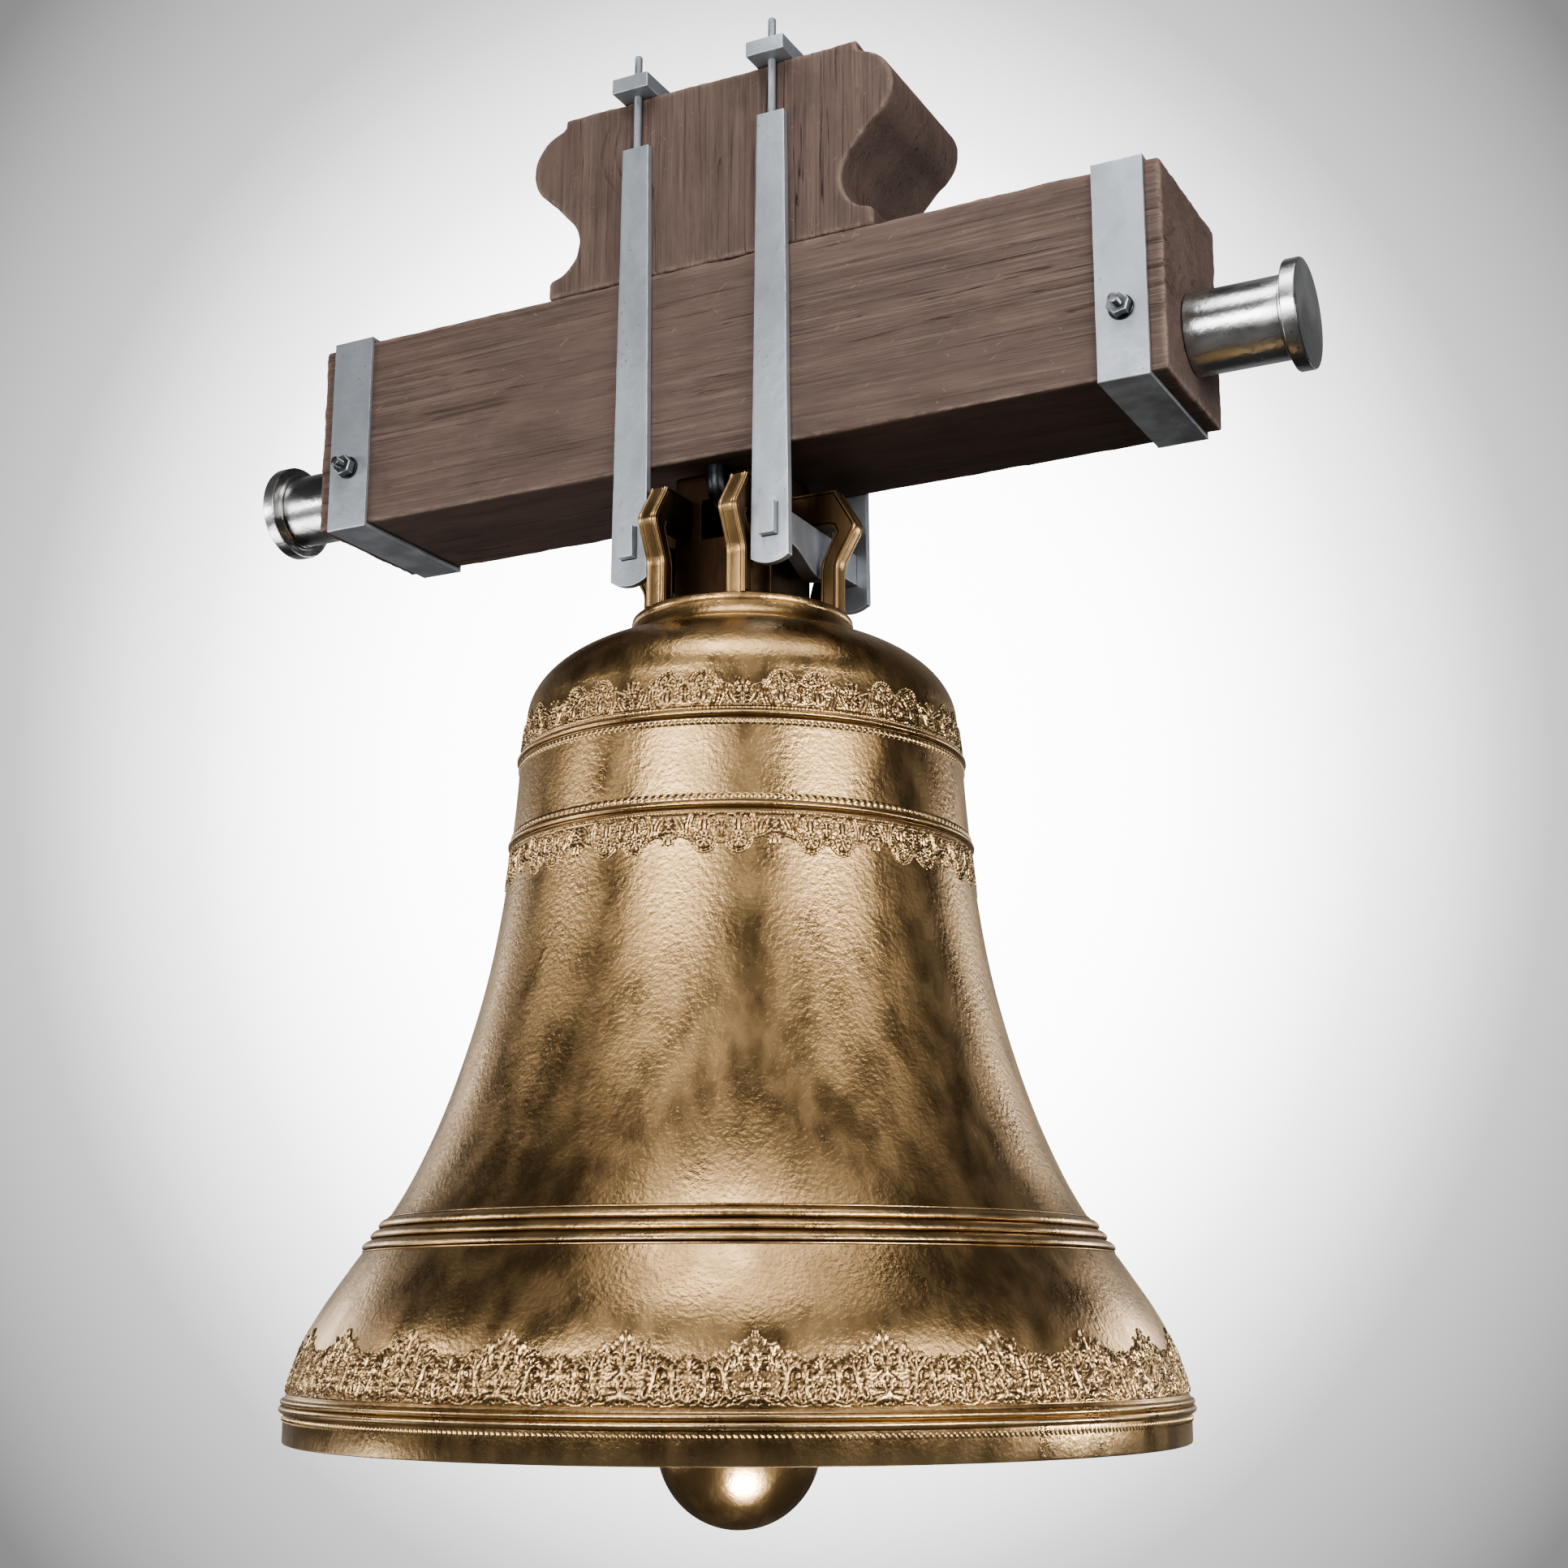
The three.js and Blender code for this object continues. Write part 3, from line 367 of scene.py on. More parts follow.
def timber_material(name, finishes, along):
    """Stained oak, its grain running along the given axis, with fine cracks and slanting scratches."""
    made, n, shader = material(name)
    def squeezed(amount):
        return tuple(amount if axis == along else 1.0 for axis in "xyz")
    fine = n.noise(n.stretched(squeezed(0.020)), 820.0, 3.0, 0.65, 0.1)
    lines = n.noise(n.stretched(squeezed(0.013)), 300.0, 5.0, 0.62, 0.25)
    boards = n.noise(n.stretched(squeezed(0.22)), 22.0, 6.0, 0.70, 0.5)
    clouds = n.noise(n.stretched((1.0, 1.0, 1.0)), 5.5, 5.0, 0.65, 0.4)
    gap = n.noise(n.stretched(squeezed(0.016)), 70.0, 3.0, 0.5, 0.35)
    crack = n.span(n.math("ABSOLUTE", n.math("SUBTRACT", gap, 0.5)), 0.0075, 0.0015)
    crack = n.math("MULTIPLY", crack, n.span(n.noise(n.stretched(squeezed(0.25)), 9.0, 2.0), 0.50, 0.60))
    scratches = 0.0
    for slant, seed in ((0.55, 230.0), (-0.80, 270.0)):
        place = n.stretched((1.0, 1.0, 1.0), (0.0, slant, 0.3 * slant))
        squeeze = n.add("ShaderNodeMapping")
        n.feed(squeeze.inputs["Vector"], place)
        n.feed(squeeze.inputs["Scale"], (0.022, 1.0, 1.0))
        mark = n.span(n.noise(squeeze.outputs[0], seed, 1.0), 0.745, 0.785)
        scratches = n.math("ADD", scratches, mark, clamp=True)
    groove, worn = n.attribute("groove"), n.attribute("wear")
    rough_wear = n.noise(n.stretched(squeezed(0.3)), 60.0, 6.0, 0.75, 1.5)
    rubbed = n.math("MULTIPLY", worn, n.span(rough_wear, 0.36, 0.60, 0.10, 0.85))
    pale = n.math("MULTIPLY", n.span(lines, 0.46, 0.70), n.span(clouds, 0.35, 0.68, 0.15, 0.62))
    pale = n.math("ADD", n.math("MULTIPLY", pale, 0.75), n.math("MULTIPLY", rubbed, 0.8))
    pale = n.math("ADD", pale, n.math("MULTIPLY", scratches, 0.45), clamp=True)
    timber = tuple(finishes.timber)
    base = n.mix(n.span(boards, 0.36, 0.68), timber, tuple(value * 0.72 for value in timber))
    base = n.mix(pale, base, tuple(finishes.timber_light))
    dark = n.math("ADD", n.math("MULTIPLY", n.span(fine, 0.46, 0.30), 0.34),
                  n.math("MULTIPLY", n.span(lines, 0.43, 0.30), 0.42))
    dark = n.math("ADD", dark, n.math("ADD", n.math("MULTIPLY", groove, 0.55), crack), clamp=True)
    n.feed(shader["Base Color"], n.mix(dark, base, tuple(finishes.timber_dark)))
    n.feed(shader["Roughness"], n.span(lines, 0.3, 0.7, 0.55, 0.72))
    shader["Specular IOR Level"].default_value = 0.35
    height = n.math("SUBTRACT", n.math("MULTIPLY", n.span(lines, 0.25, 0.75), 0.7),
                    n.math("MULTIPLY", dark, 0.8))
    height = n.math("SUBTRACT", height, n.math("MULTIPLY", scratches, 0.4))
    n.feed(shader["Normal"], n.bump(height, 0.0006, 0.8))
    return made


def zinc_material(name, finishes):
    """Dull galvanised steel with a faint mottle and bright rubbed edges."""
    made, n, shader = material(name)
    mottle = n.group(SHARED["blotches"], Stretch=(1.0, 1.0, 0.7), Scale=28.0, Low=0.34, High=0.68)[0]
    stains = n.group(SHARED["blotches"], Stretch=(1.0, 1.0, 0.5), Scale=9.0, Low=0.45, High=0.72)[0]
    specks = n.group(SHARED["specks"], Scale=110.0, Size=0.17)[0]
    rubbed = n.group(SHARED["rubbed"], Amount=0.95, Scale=60.0)[0]
    zinc = tuple(finishes.zinc)
    base = n.mix(n.math("MULTIPLY", mottle, 0.6), zinc, tuple(value * 1.5 for value in zinc))
    base = n.mix(n.math("MULTIPLY", stains, 0.55), base, tuple(value * 0.45 for value in zinc))
    base = n.mix(n.math("MULTIPLY", specks, 0.45), base, tuple(value * 0.3 for value in zinc))
    n.feed(shader["Base Color"], n.mix(rubbed, base, tuple(finishes.zinc_light)))
    n.feed(shader["Roughness"], n.span(mottle, 0.0, 1.0, 0.50, 0.38))
    n.feed(shader["Metallic"], n.span(stains, 0.0, 1.0, 0.72, 0.55))
    skin = n.group(SHARED["uneven"], Scale=70.0, Depth=0.0005, Fine_Scale=430.0, Fine_Depth=0.0001)[0]
    n.feed(shader["Normal"], skin)
    return made


def steel_material(name, finishes, tint, roughness, oil):
    """Turned or forged steel, cloudy with oil and handling."""
    made, n, shader = material(name)
    clouds = n.group(SHARED["blotches"], Stretch=(0.5, 1.0, 1.0), Scale=24.0, Low=0.36, High=0.70)[0]
    film = n.group(SHARED["blotches"], Stretch=(1.0, 1.0, 1.0), Scale=7.0, Low=0.42, High=0.66)[0]
    specks = n.group(SHARED["specks"], Scale=130.0, Size=0.2)[0]
    rubbed = n.group(SHARED["rubbed"], Amount=0.7, Scale=120.0)[0]
    tint = tuple(tint)
    base = n.mix(n.math("MULTIPLY", clouds, 0.5), tint, tuple(min(1.0, value * 1.5) for value in tint))
    base = n.mix(n.math("MULTIPLY", film, oil), base, tuple(value * 0.35 for value in tint))
    base = n.mix(n.math("MULTIPLY", specks, 0.5), base, tuple(value * 0.2 for value in tint))
    n.feed(shader["Base Color"], n.mix(rubbed, base, tuple(finishes.zinc_light)))
    n.feed(shader["Roughness"], n.span(clouds, 0.0, 1.0, roughness, roughness + 0.14))
    n.feed(shader["Metallic"], 1.0)
    skin = n.group(SHARED["uneven"], Scale=150.0, Depth=0.0003, Fine_Scale=900.0, Fine_Depth=0.00004)[0]
    n.feed(shader["Normal"], skin)
    return made


LOOKS = {}


def make_looks(finishes):
    shared_groups()
    LOOKS.update(
        bronze=bronze_material("cast bronze", finishes),
        frieze=bronze_material("chased bronze", finishes, roughness=0.30, patina=0.55, peel=0.00008),
        crown=bronze_material("crown bronze", finishes, roughness=0.30, patina=0.8, peel=0.0002),
        clapper=bronze_material("clapper bronze", finishes, roughness=0.26, patina=0.8, peel=0.0003),
        beam=timber_material("beam timber", finishes, "x"),
        block=timber_material("block timber", finishes, "z"),
        zinc=zinc_material("galvanised steel", finishes),
        steel=steel_material("turned steel", finishes, finishes.steel, 0.24, 0.5),
        iron=steel_material("dark iron", finishes, finishes.iron, 0.38, 0.3),
        bolt=steel_material("bolt steel", finishes, finishes.bolt, 0.36, 0.5),
    )


# ---------- Modelling helpers ----------

def finished(bm, name, look, body, replaced=(), sharp=35.0, flat_sided=True):
    """Turns a bmesh into a piece that rides on a body and takes a material and a slot."""
    mesh = bpy.data.meshes.new(name)
    bm.normal_update()
    bm.to_mesh(mesh)
    bm.free()
    mesh.shade_smooth()
    mesh.set_sharp_from_angle(angle=math.radians(sharp))
    piece = bpy.data.objects.new(name, mesh)
    bpy.context.scene.collection.objects.link(piece)
    mesh.materials.append(LOOKS[look])
    if flat_sided:
        even = piece.modifiers.new("flat sides", "WEIGHTED_NORMAL")
        even.keep_sharp = True
    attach(piece, body)
    if replaced:
        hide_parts(*replaced)
    return piece


def wear_layer(bm):
    return bm.faces.layers.float.get("wear") or bm.faces.layers.float.new("wear")


def soften(bm, offset, segments=2, angle=28.0, edges=None):
    """Bevels the sharp edges, and marks the bevels as worn."""
    bm.normal_update()
    if edges is None:
        edges = [edge for edge in bm.edges
                 if len(edge.link_faces) == 2 and edge.calc_face_angle(0.0) > math.radians(angle)]
    wear = wear_layer(bm)
    made = bmesh.ops.bevel(bm, geom=edges, offset=offset, segments=segments, profile=0.5,
                           affect="EDGES", clamp_overlap=True, material=-1)
    for face in made["faces"]:
        face[wear] = 1.0


def add_box(bm, low, high):
    """A box between two corners; returns its new vertices."""
    low, high = Vector(low), Vector(high)
    place = Matrix.Translation((low + high) / 2) @ Matrix.Diagonal((*(high - low), 1.0))
    return bmesh.ops.create_cube(bm, size=1.0, matrix=place)["verts"]


def spun(bm, profile, steps, axis="z", centre=(0.0, 0.0, 0.0)):
    """Turns a profile of (radius, height) all the way round an axis."""
    points = [Vector((radius, 0.0, height)) for radius, height in profile]
    verts = [bm.verts.new(point) for point in points]
    edges = [bm.edges.new(pair) for pair in zip(verts, verts[1:])]
    bmesh.ops.spin(bm, geom=verts + edges, cent=(0, 0, 0), axis=(0, 0, 1), dvec=(0, 0, 0),
                   angle=TURN, steps=steps, use_merge=True, use_normal_flip=False,
                   use_duplicate=False)
    verts = [vert for vert in bm.verts if vert.is_valid]
    bmesh.ops.remove_doubles(bm, verts=verts, dist=1e-6)
    turn = {"z": Matrix.Identity(4), "x": Matrix.Rotation(math.pi / 2, 4, "Y"),
            "y": Matrix.Rotation(-math.pi / 2, 4, "X")}[axis]
    bmesh.ops.transform(bm, matrix=Matrix.Translation(centre) @ turn, verts=bm.verts[:])
    bmesh.ops.recalc_face_normals(bm, faces=bm.faces[:])


def join(bm, other):
    """Adds another bmesh's geometry to this one."""
    mesh = bpy.data.meshes.new("joining")
    other.to_mesh(mesh)
    other.free()
    bm.from_mesh(mesh)
    bpy.data.meshes.remove(mesh)


def uneven(bm, amount, size=0.045):
    """Moves every vertex a little, as hammered and handled bar has it."""
    for vert in bm.verts:
        vert.co += amount * noise.noise_vector(vert.co / size)


def arc(centre, radius, start, end, steps):
    """Points round an arc, in degrees."""
    turns = (math.radians(start + (end - start) * i / steps) for i in range(steps + 1))
    return [(centre[0] + radius * math.cos(turn), centre[1] + radius * math.sin(turn)) for turn in turns]


def smooth_step(value, low, high):
    share_of = min(1.0, max(0.0, (value - low) / (high - low)))
    return share_of * share_of * (3 - 2 * share_of)


# ---------- Bell ----------

# Outside of the waist: share of the shoulder's height, and share of the flare
WAIST = (
    (0.073, 0.988), (0.146, 0.899), (0.22, 0.741), (0.305, 0.539), (0.39, 0.395), (0.488, 0.272),
    (0.61, 0.158), (0.732, 0.086), (0.854, 0.045), (0.951, 0.021), (1.0, 0.0),
)
TRIPLE_RINGS = (0.2546, 0.2690, 0.2834)
SINGLE_RINGS = (0.8124, 0.9378)


def waist_curve(sizes, steps=10):
    """(radius, height) up the outside of the waist, on a smooth curve through its stations."""
    flare = sizes.mouth_radius - sizes.shoulder_radius
    stations = [Vector((sizes.shoulder_radius + out * flare, rise * sizes.shoulder_height))
                for rise, out in WAIST]
    last = len(stations) - 1
    curve = [Vector((sizes.mouth_radius, 0.0))]
    for i in range(last):
        before, start, end, after = (stations[min(max(j, 0), last)] for j in range(i - 1, i + 3))
        for step in range(steps):
            t = step / steps
            pull, push = (end - before) / 2, (after - start) / 2
            curve.append((2 * start - 2 * end + pull + push) * t ** 3
                         + (3 * end - 3 * start - 2 * pull - push) * t ** 2 + pull * t + start)
    return curve + [stations[last]]


def outside(curve, height):
    """Radius of the bell's outside at a height above the mouth."""
    return float(np.interp(height, [point.y for point in curve], [point.x for point in curve]))


def wall(sizes, rise):
    """Wall thickness at a share of the shoulder's height."""
    stations = ((0.0, sizes.lip_wall), (0.08, sizes.bow_wall), (0.22, sizes.bow_wall * 0.714),
                (0.37, sizes.waist_wall * 1.2), (0.6, sizes.waist_wall), (0.96, sizes.waist_wall * 0.9))
    for (low, thin), (high, thick) in zip(stations, stations[1:]):
        if rise <= high:
            return thin + (thick - thin) * smooth_step(rise, low, high)
    return stations[-1][1]


def half_round(curve, height, half, proud, steps=7):
    """A half-round moulding on the bell's outside."""
    points = []
    for i in range(steps + 1):
        turn = math.pi * (i / steps - 0.5)
        level = height + half * math.sin(turn)
        points.append((outside(curve, level) + proud * math.cos(turn), level))
    return points


def bell_profile(sizes):
    """The whole bell in section: from the inside of the crown, round the lip, to the crown's top."""
    curve = waist_curve(sizes)
    inside_top = sizes.shoulder_height + sizes.shoulder_rise - sizes.crown_wall
    springing = 0.96 * sizes.shoulder_height
    edge = outside(curve, springing) - wall(sizes, 0.96)
    flat = 0.55 * edge
    dome = [(flat + (edge - flat) * math.sin(turn), springing + (inside_top - springing) * math.cos(turn))
            for turn in (math.pi / 2 * i / 12 for i in range(13))]
    levels = [springing * (1 - (i + 1) / 34) ** 1.3 for i in range(33)]
    inside = [(outside(curve, level) - wall(sizes, level / sizes.shoulder_height), level)
              for level in levels]
    mouth = sizes.mouth_radius
    lip = [
        (mouth - sizes.lip_wall, 0.0015), (mouth - sizes.lip_wall + 0.0015, 0.0), (mouth - 0.0025, 0.0),
        (mouth - 0.0007, 0.0007), (mouth, 0.0025), (mouth, 0.0315), (mouth + 0.0016, 0.0318),
        *arc((mouth + 0.0014, 0.0358), 0.0038, -90, 80, 8),
        (mouth + 0.0008, 0.0402), *arc((mouth + 0.0006, 0.0436), 0.0032, -85, 85, 7),
        (mouth - 0.0004, 0.0474), (mouth - 0.0014, 0.0492), (mouth - 0.0020, 0.0508),
    ]
    rings = [(0.0525, half_round(curve, 0.0525, 0.0008, 0.0006, 3))]
    for rise in TRIPLE_RINGS:
        height = rise * sizes.shoulder_height
        rings.append((height, half_round(curve, height, 0.0053, 0.0058)))
    low, high = TRIPLE_RINGS[0] * sizes.shoulder_height, TRIPLE_RINGS[2] * sizes.shoulder_height
    rings += [(low - 0.0066, half_round(curve, low - 0.0066, 0.0011, 0.0015, 4)),
              (high + 0.0066, half_round(curve, high + 0.0066, 0.0011, 0.0015, 4))]
    for rise in SINGLE_RINGS:
        height = rise * sizes.shoulder_height
        rings.append((height, half_round(curve, height, 0.0034, 0.0042)))
        rings.append((height - 0.0046, half_round(curve, height - 0.0046, 0.0010, 0.0014, 4)))
    rings.sort()
    plain = [0.056 + 0.0085 * i for i in range(90)]
    outer = [point for _, ring in rings for point in ring]
    for level in plain:
        clear = all(level < ring[0][1] - 0.002 or level > ring[-1][1] + 0.002 for _, ring in rings)
        if clear and level < sizes.shoulder_height - 0.004:
            outer.append((outside(curve, level), level))
    outer.sort(key=lambda point: point[1])
    shoulder_top = sizes.shoulder_height + sizes.shoulder_rise
    crest = sizes.disc_radius - 0.055
    reach = sizes.shoulder_radius - crest
    last = math.acos(0.055 / reach)
    swell = sizes.shoulder_rise / math.sin(last)
    shoulder = [(crest + reach * math.cos(turn), sizes.shoulder_height + swell * math.sin(turn))
                for turn in (last * i / 22 for i in range(22))]
    foot, rim = sizes.disc_radius, sizes.disc_top_radius
    crown_top = shoulder_top + sizes.disc_height
    disc = [(foot + 0.0008, shoulder_top - 0.0002), (foot + 0.0014, shoulder_top + 0.0012),
            (foot + 0.0006, shoulder_top + 0.0026), (foot - 0.0014, shoulder_top + 0.0032)]
    cove_foot, cove_top = Vector((foot - 0.002, shoulder_top + 0.004)), Vector((rim, crown_top - 0.011))
    for i in range(9):
        turn = math.pi / 2 * i / 8
        disc.append((cove_top.x + (cove_foot.x - cove_top.x) * (1 - math.sin(turn)),
                     cove_foot.y + (cove_top.y - cove_foot.y) * (1 - math.cos(turn))))
    disc += [(rim + 0.0012, crown_top - 0.0095), (rim + 0.0018, crown_top - 0.006),
             (rim + 0.0012, crown_top - 0.0022), (rim - 0.0014, crown_top), (rim * 0.6, crown_top)]
    return [(0.0, inside_top), *dome, *inside, *lip, *outer, *shoulder, *disc, (0.0, crown_top)]


class BELL_OT_casting(bpy.types.Operator):
    """Turns the bell's body with its mouldings, wall and crown disc"""
    bl_idname = "bell.casting"
    bl_label = "Bell body"

    def execute(self, context):
        sizes = context.scene.bell_sizes
        bm = bmesh.new()
        spun(bm, bell_profile(sizes), sizes.steps, centre=(0.0, 0.0, MOUTH_Z))
        relief = bm.verts.layers.float.new("relief")
        curve = waist_curve(sizes)
        rings = [rise * sizes.shoulder_height for rise in (*TRIPLE_RINGS, *SINGLE_RINGS)] + [0.036, 0.044]
        for vert in bm.verts:
            level, radius = vert.co.z - MOUTH_Z, vert.co.xy.length
            proud = radius - outside(curve, level)
            tone = 0.3
            # Painted shade in the grooves at the foot of each ring and a painted highlight on its top; the lip's
            # bottom edge is made paler.
            if proud > -0.003 and min(abs(level - ring_level) for ring_level in rings) < 0.0072:
                tone = max(-0.3, -0.34 + proud * 240)
            elif proud > -0.003 and level < 0.021:
                tone = 0.95 if level < 0.0028 else 0.02
            vert[relief] = tone
        finished(bm, "bell_body", "bronze", "bell", ["bell"], sharp=40.0, flat_sided=False)
        return {"FINISHED"}


# ---------- Friezes ----------

def bezier(start, control, end, width, taper=True, steps=9):
    """A curved stroke of (x, y, half width), pointed at its ends when tapered."""
    stroke = []
    for i in range(steps + 1):
        t = i / steps
        x, y = ((1 - t) ** 2 * a + 2 * t * (1 - t) * b + t * t * c for a, b, c in zip(start, control, end))
        swell = max(0.35, math.sin(math.pi * min(0.96, 0.12 + 0.84 * t)) ** 0.7) if taper else 1.0
        stroke.append((x, y, width * swell))
    return stroke


def scroll(x, y, radius, start, turns, width, steps=22):
    """A spiral stroke that winds in to its eye; turns below zero wind clockwise."""
    stroke = []
    for i in range(steps + 1):
        t = i / steps
        reach = radius * (1 - 0.78 * t)
        turn = math.radians(start) + turns * TURN * t
        stroke.append((x + reach * math.cos(turn), y + reach * math.sin(turn), width * (1 - 0.3 * t)))
    return stroke


def dot(x, y, radius):
    return [(x, y, radius), (x + 0.01, y, radius)]


def rosette(x, y, radius, petals=8):
    """Petals round a button; the thin ring round them is added by the caller."""
    strokes = [dot(x, y, radius * 0.24)]
    for i in range(petals):
        turn = TURN * (i + 0.5) / petals
        inner, outer = radius * 0.36, radius * 0.78
        strokes.append([(x + inner * math.cos(turn), y + inner * math.sin(turn), radius * 0.10),
                        (x + outer * math.cos(turn), y + outer * math.sin(turn), radius * 0.19)])
    return strokes


def beaded(x, y, radius, start, end, beads, size):
    """Dots along an arc."""
    turns = (math.radians(start + (end - start) * i / (beads - 1)) for i in range(beads))
    return [dot(x + radius * math.cos(turn), y + radius * math.sin(turn), size) for turn in turns]


def ring(x, y, radius, start, end, width, steps=16):
    """A plain stroke along an arc."""
    points = arc((x, y), radius, start, end, steps)
    return [(px, py, width) for px, py in points]


def peak_strokes():
    """Half of one peak of the large frieze, in millimetres from its axis and its base."""
    return [
        # finial and the leaves under it
        [(0, 69.6, 1.1), (4.6, 66.2, 1.1), (0, 62.6, 1.1)], bezier((1.5, 62), (6, 63.5), (10, 60), 1.4),
        dot(11.4, 59.4, 1.3), bezier((2.6, 60), (8, 58), (12, 55), 1.3),
        bezier((9, 53.4), (17, 55), (23, 60.4), 2.0), bezier((12, 51), (18, 52), (24, 56.6), 1.3),
        bezier((0, 60.4), (0, 55), (0, 49), 2.1), bezier((3.6, 57), (4.4, 52), (1, 46), 1.1),
        # upper volutes
        bezier((0.6, 30), (1, 38), (4, 45), 1.5, False), scroll(8.6, 43.5, 6.6, 150, -1.35, 1.35),
        dot(8.6, 43.5, 1.5), bezier((3, 36), (8, 33), (13, 37), 1.3), bezier((13, 37), (17, 42), (15, 49), 1.3),
        bezier((15, 49), (17, 54), (21.5, 57), 1.6), bezier((15, 48), (19, 51), (23, 53.5), 1.2),
        bezier((14, 46), (18, 47.5), (22, 49), 1.2), dot(18, 57.5, 1.3), dot(23.5, 56, 1.2),
        # middle stem and its leaves
        bezier((0, 36), (0, 31), (0, 25), 2.0), bezier((0.5, 33), (3.5, 30), (5, 26), 1.3),
        bezier((0.5, 29), (4, 27.5), (8, 28.5), 1.2), dot(6.5, 32, 1.0),
        # lower volutes
        bezier((0.5, 13), (2, 17), (4.5, 20), 1.4, False), scroll(8.8, 20.5, 5.0, 175, -1.3, 1.3),
        dot(8.8, 20.5, 1.3), bezier((2, 22), (4, 25), (8, 27), 1.2), dot(14.6, 26, 1.0), dot(15.8, 22.5, 0.9),
        # palmette at the foot
        bezier((0, 15.5), (0, 9), (0, 2.4), 1.9), bezier((1, 15), (2.6, 8), (6.4, 2.2), 1.4),
        bezier((2, 14), (5, 7.6), (12, 2.2), 1.5), bezier((3, 12.6), (8.4, 6.6), (18.6, 3), 1.5),
        bezier((4.6, 12), (12, 9), (20.4, 6.6), 1.2), scroll(16.8, 13.5, 3.6, -60, 1.2, 1.1),
        bezier((14, 2.6), (20, 5), (26, 2.0), 1.1), dot(21, 9.5, 1.1),
        # side stem with its star
        bezier((24, 8), (28, 16), (29, 26), 1.7, False), bezier((29, 26), (30, 35), (24, 42), 1.6),
        bezier((28.5, 30), (24, 33), (18.5, 33), 1.3), bezier((28.5, 26), (23, 26), (18.5, 23.5), 1.3),
        bezier((28.5, 24), (24, 20), (21, 16), 1.2), bezier((29.5, 30), (33, 35), (31, 42), 1.4),
        bezier((24, 42), (27, 46), (27.5, 50), 1.4), bezier((25, 43), (31, 46), (34, 50), 1.5),
        bezier((31, 42), (35, 46), (39, 48.5), 1.4), dot(29, 26.5, 2.0), dot(31, 50.5, 1.2),
        dot(36, 51, 1.1), bezier((19.5, 45), (22, 39), (20, 34), 1.2), dot(22.5, 37, 1.0),
        bezier((24, 12), (29, 12), (32, 7), 1.3), bezier((27, 6), (31, 2), (37, 2.4), 1.2),
        scroll(33.5, 12.5, 4.2, 200, -1.2, 1.15), dot(33.5, 12.5, 1.1), dot(28.5, 19.5, 1.0),
        # large side volute
        bezier((29.5, 27), (31.5, 36), (38, 36.5), 1.5, False), scroll(38.6, 28.5, 7.6, 92, -1.5, 1.45),
        dot(38.6, 28.5, 1.7), bezier((33, 36), (39, 41), (44, 46.5), 1.4),
        bezier((38, 37), (44, 40), (48, 44.5), 1.3), dot(41.5, 47.5, 1.2), dot(46.5, 47.5, 1.1),
        bezier((33, 21), (37, 18.5), (41, 20), 1.2), dot(34.2, 24.5, 0.9),
        bezier((38, 16), (42, 13), (41, 7), 1.3), bezier((36, 8), (41, 4), (46, 3.6), 1.2),
        # valley: a heart of two long leaves, with a flower over it
        bezier((45.5, 37), (49.5, 30), (47.5, 21), 1.7), bezier((47.5, 22), (47, 12), (52, 5), 1.9),
        bezier((52, 5), (55.5, 2), (60, 2.4), 1.3), bezier((50, 34), (54.5, 31.5), (60, 32), 1.4),
        bezier((47, 38), (53, 38), (58, 35.5), 1.4), bezier((50, 41.5), (55, 43), (59, 38.5), 1.4),
        bezier((56.5, 24), (60.5, 21.5), (62.7, 15), 1.5), bezier((52.6, 22), (56, 17), (56, 10), 1.4),
        dot(53.5, 27.5, 1.2), dot(57.5, 28.5, 1.2), bezier((62.8, 44), (62.8, 38), (62.8, 33), 2.0),
        bezier((55, 45), (58.5, 45), (61.5, 41), 1.3), dot(52.6, 45.5, 1.1), dot(59.2, 47, 1.1),
        bezier((62.8, 14), (62.8, 9), (62.8, 3), 1.8), bezier((58, 9), (60, 5.5), (62.6, 4), 1.2),
        scroll(52.4, 13.5, 2.6, 20, 1.1, 1.0),
        # base line
        [(0, 0.6, 0.9), (62.8, 0.6, 0.9)],
    ]


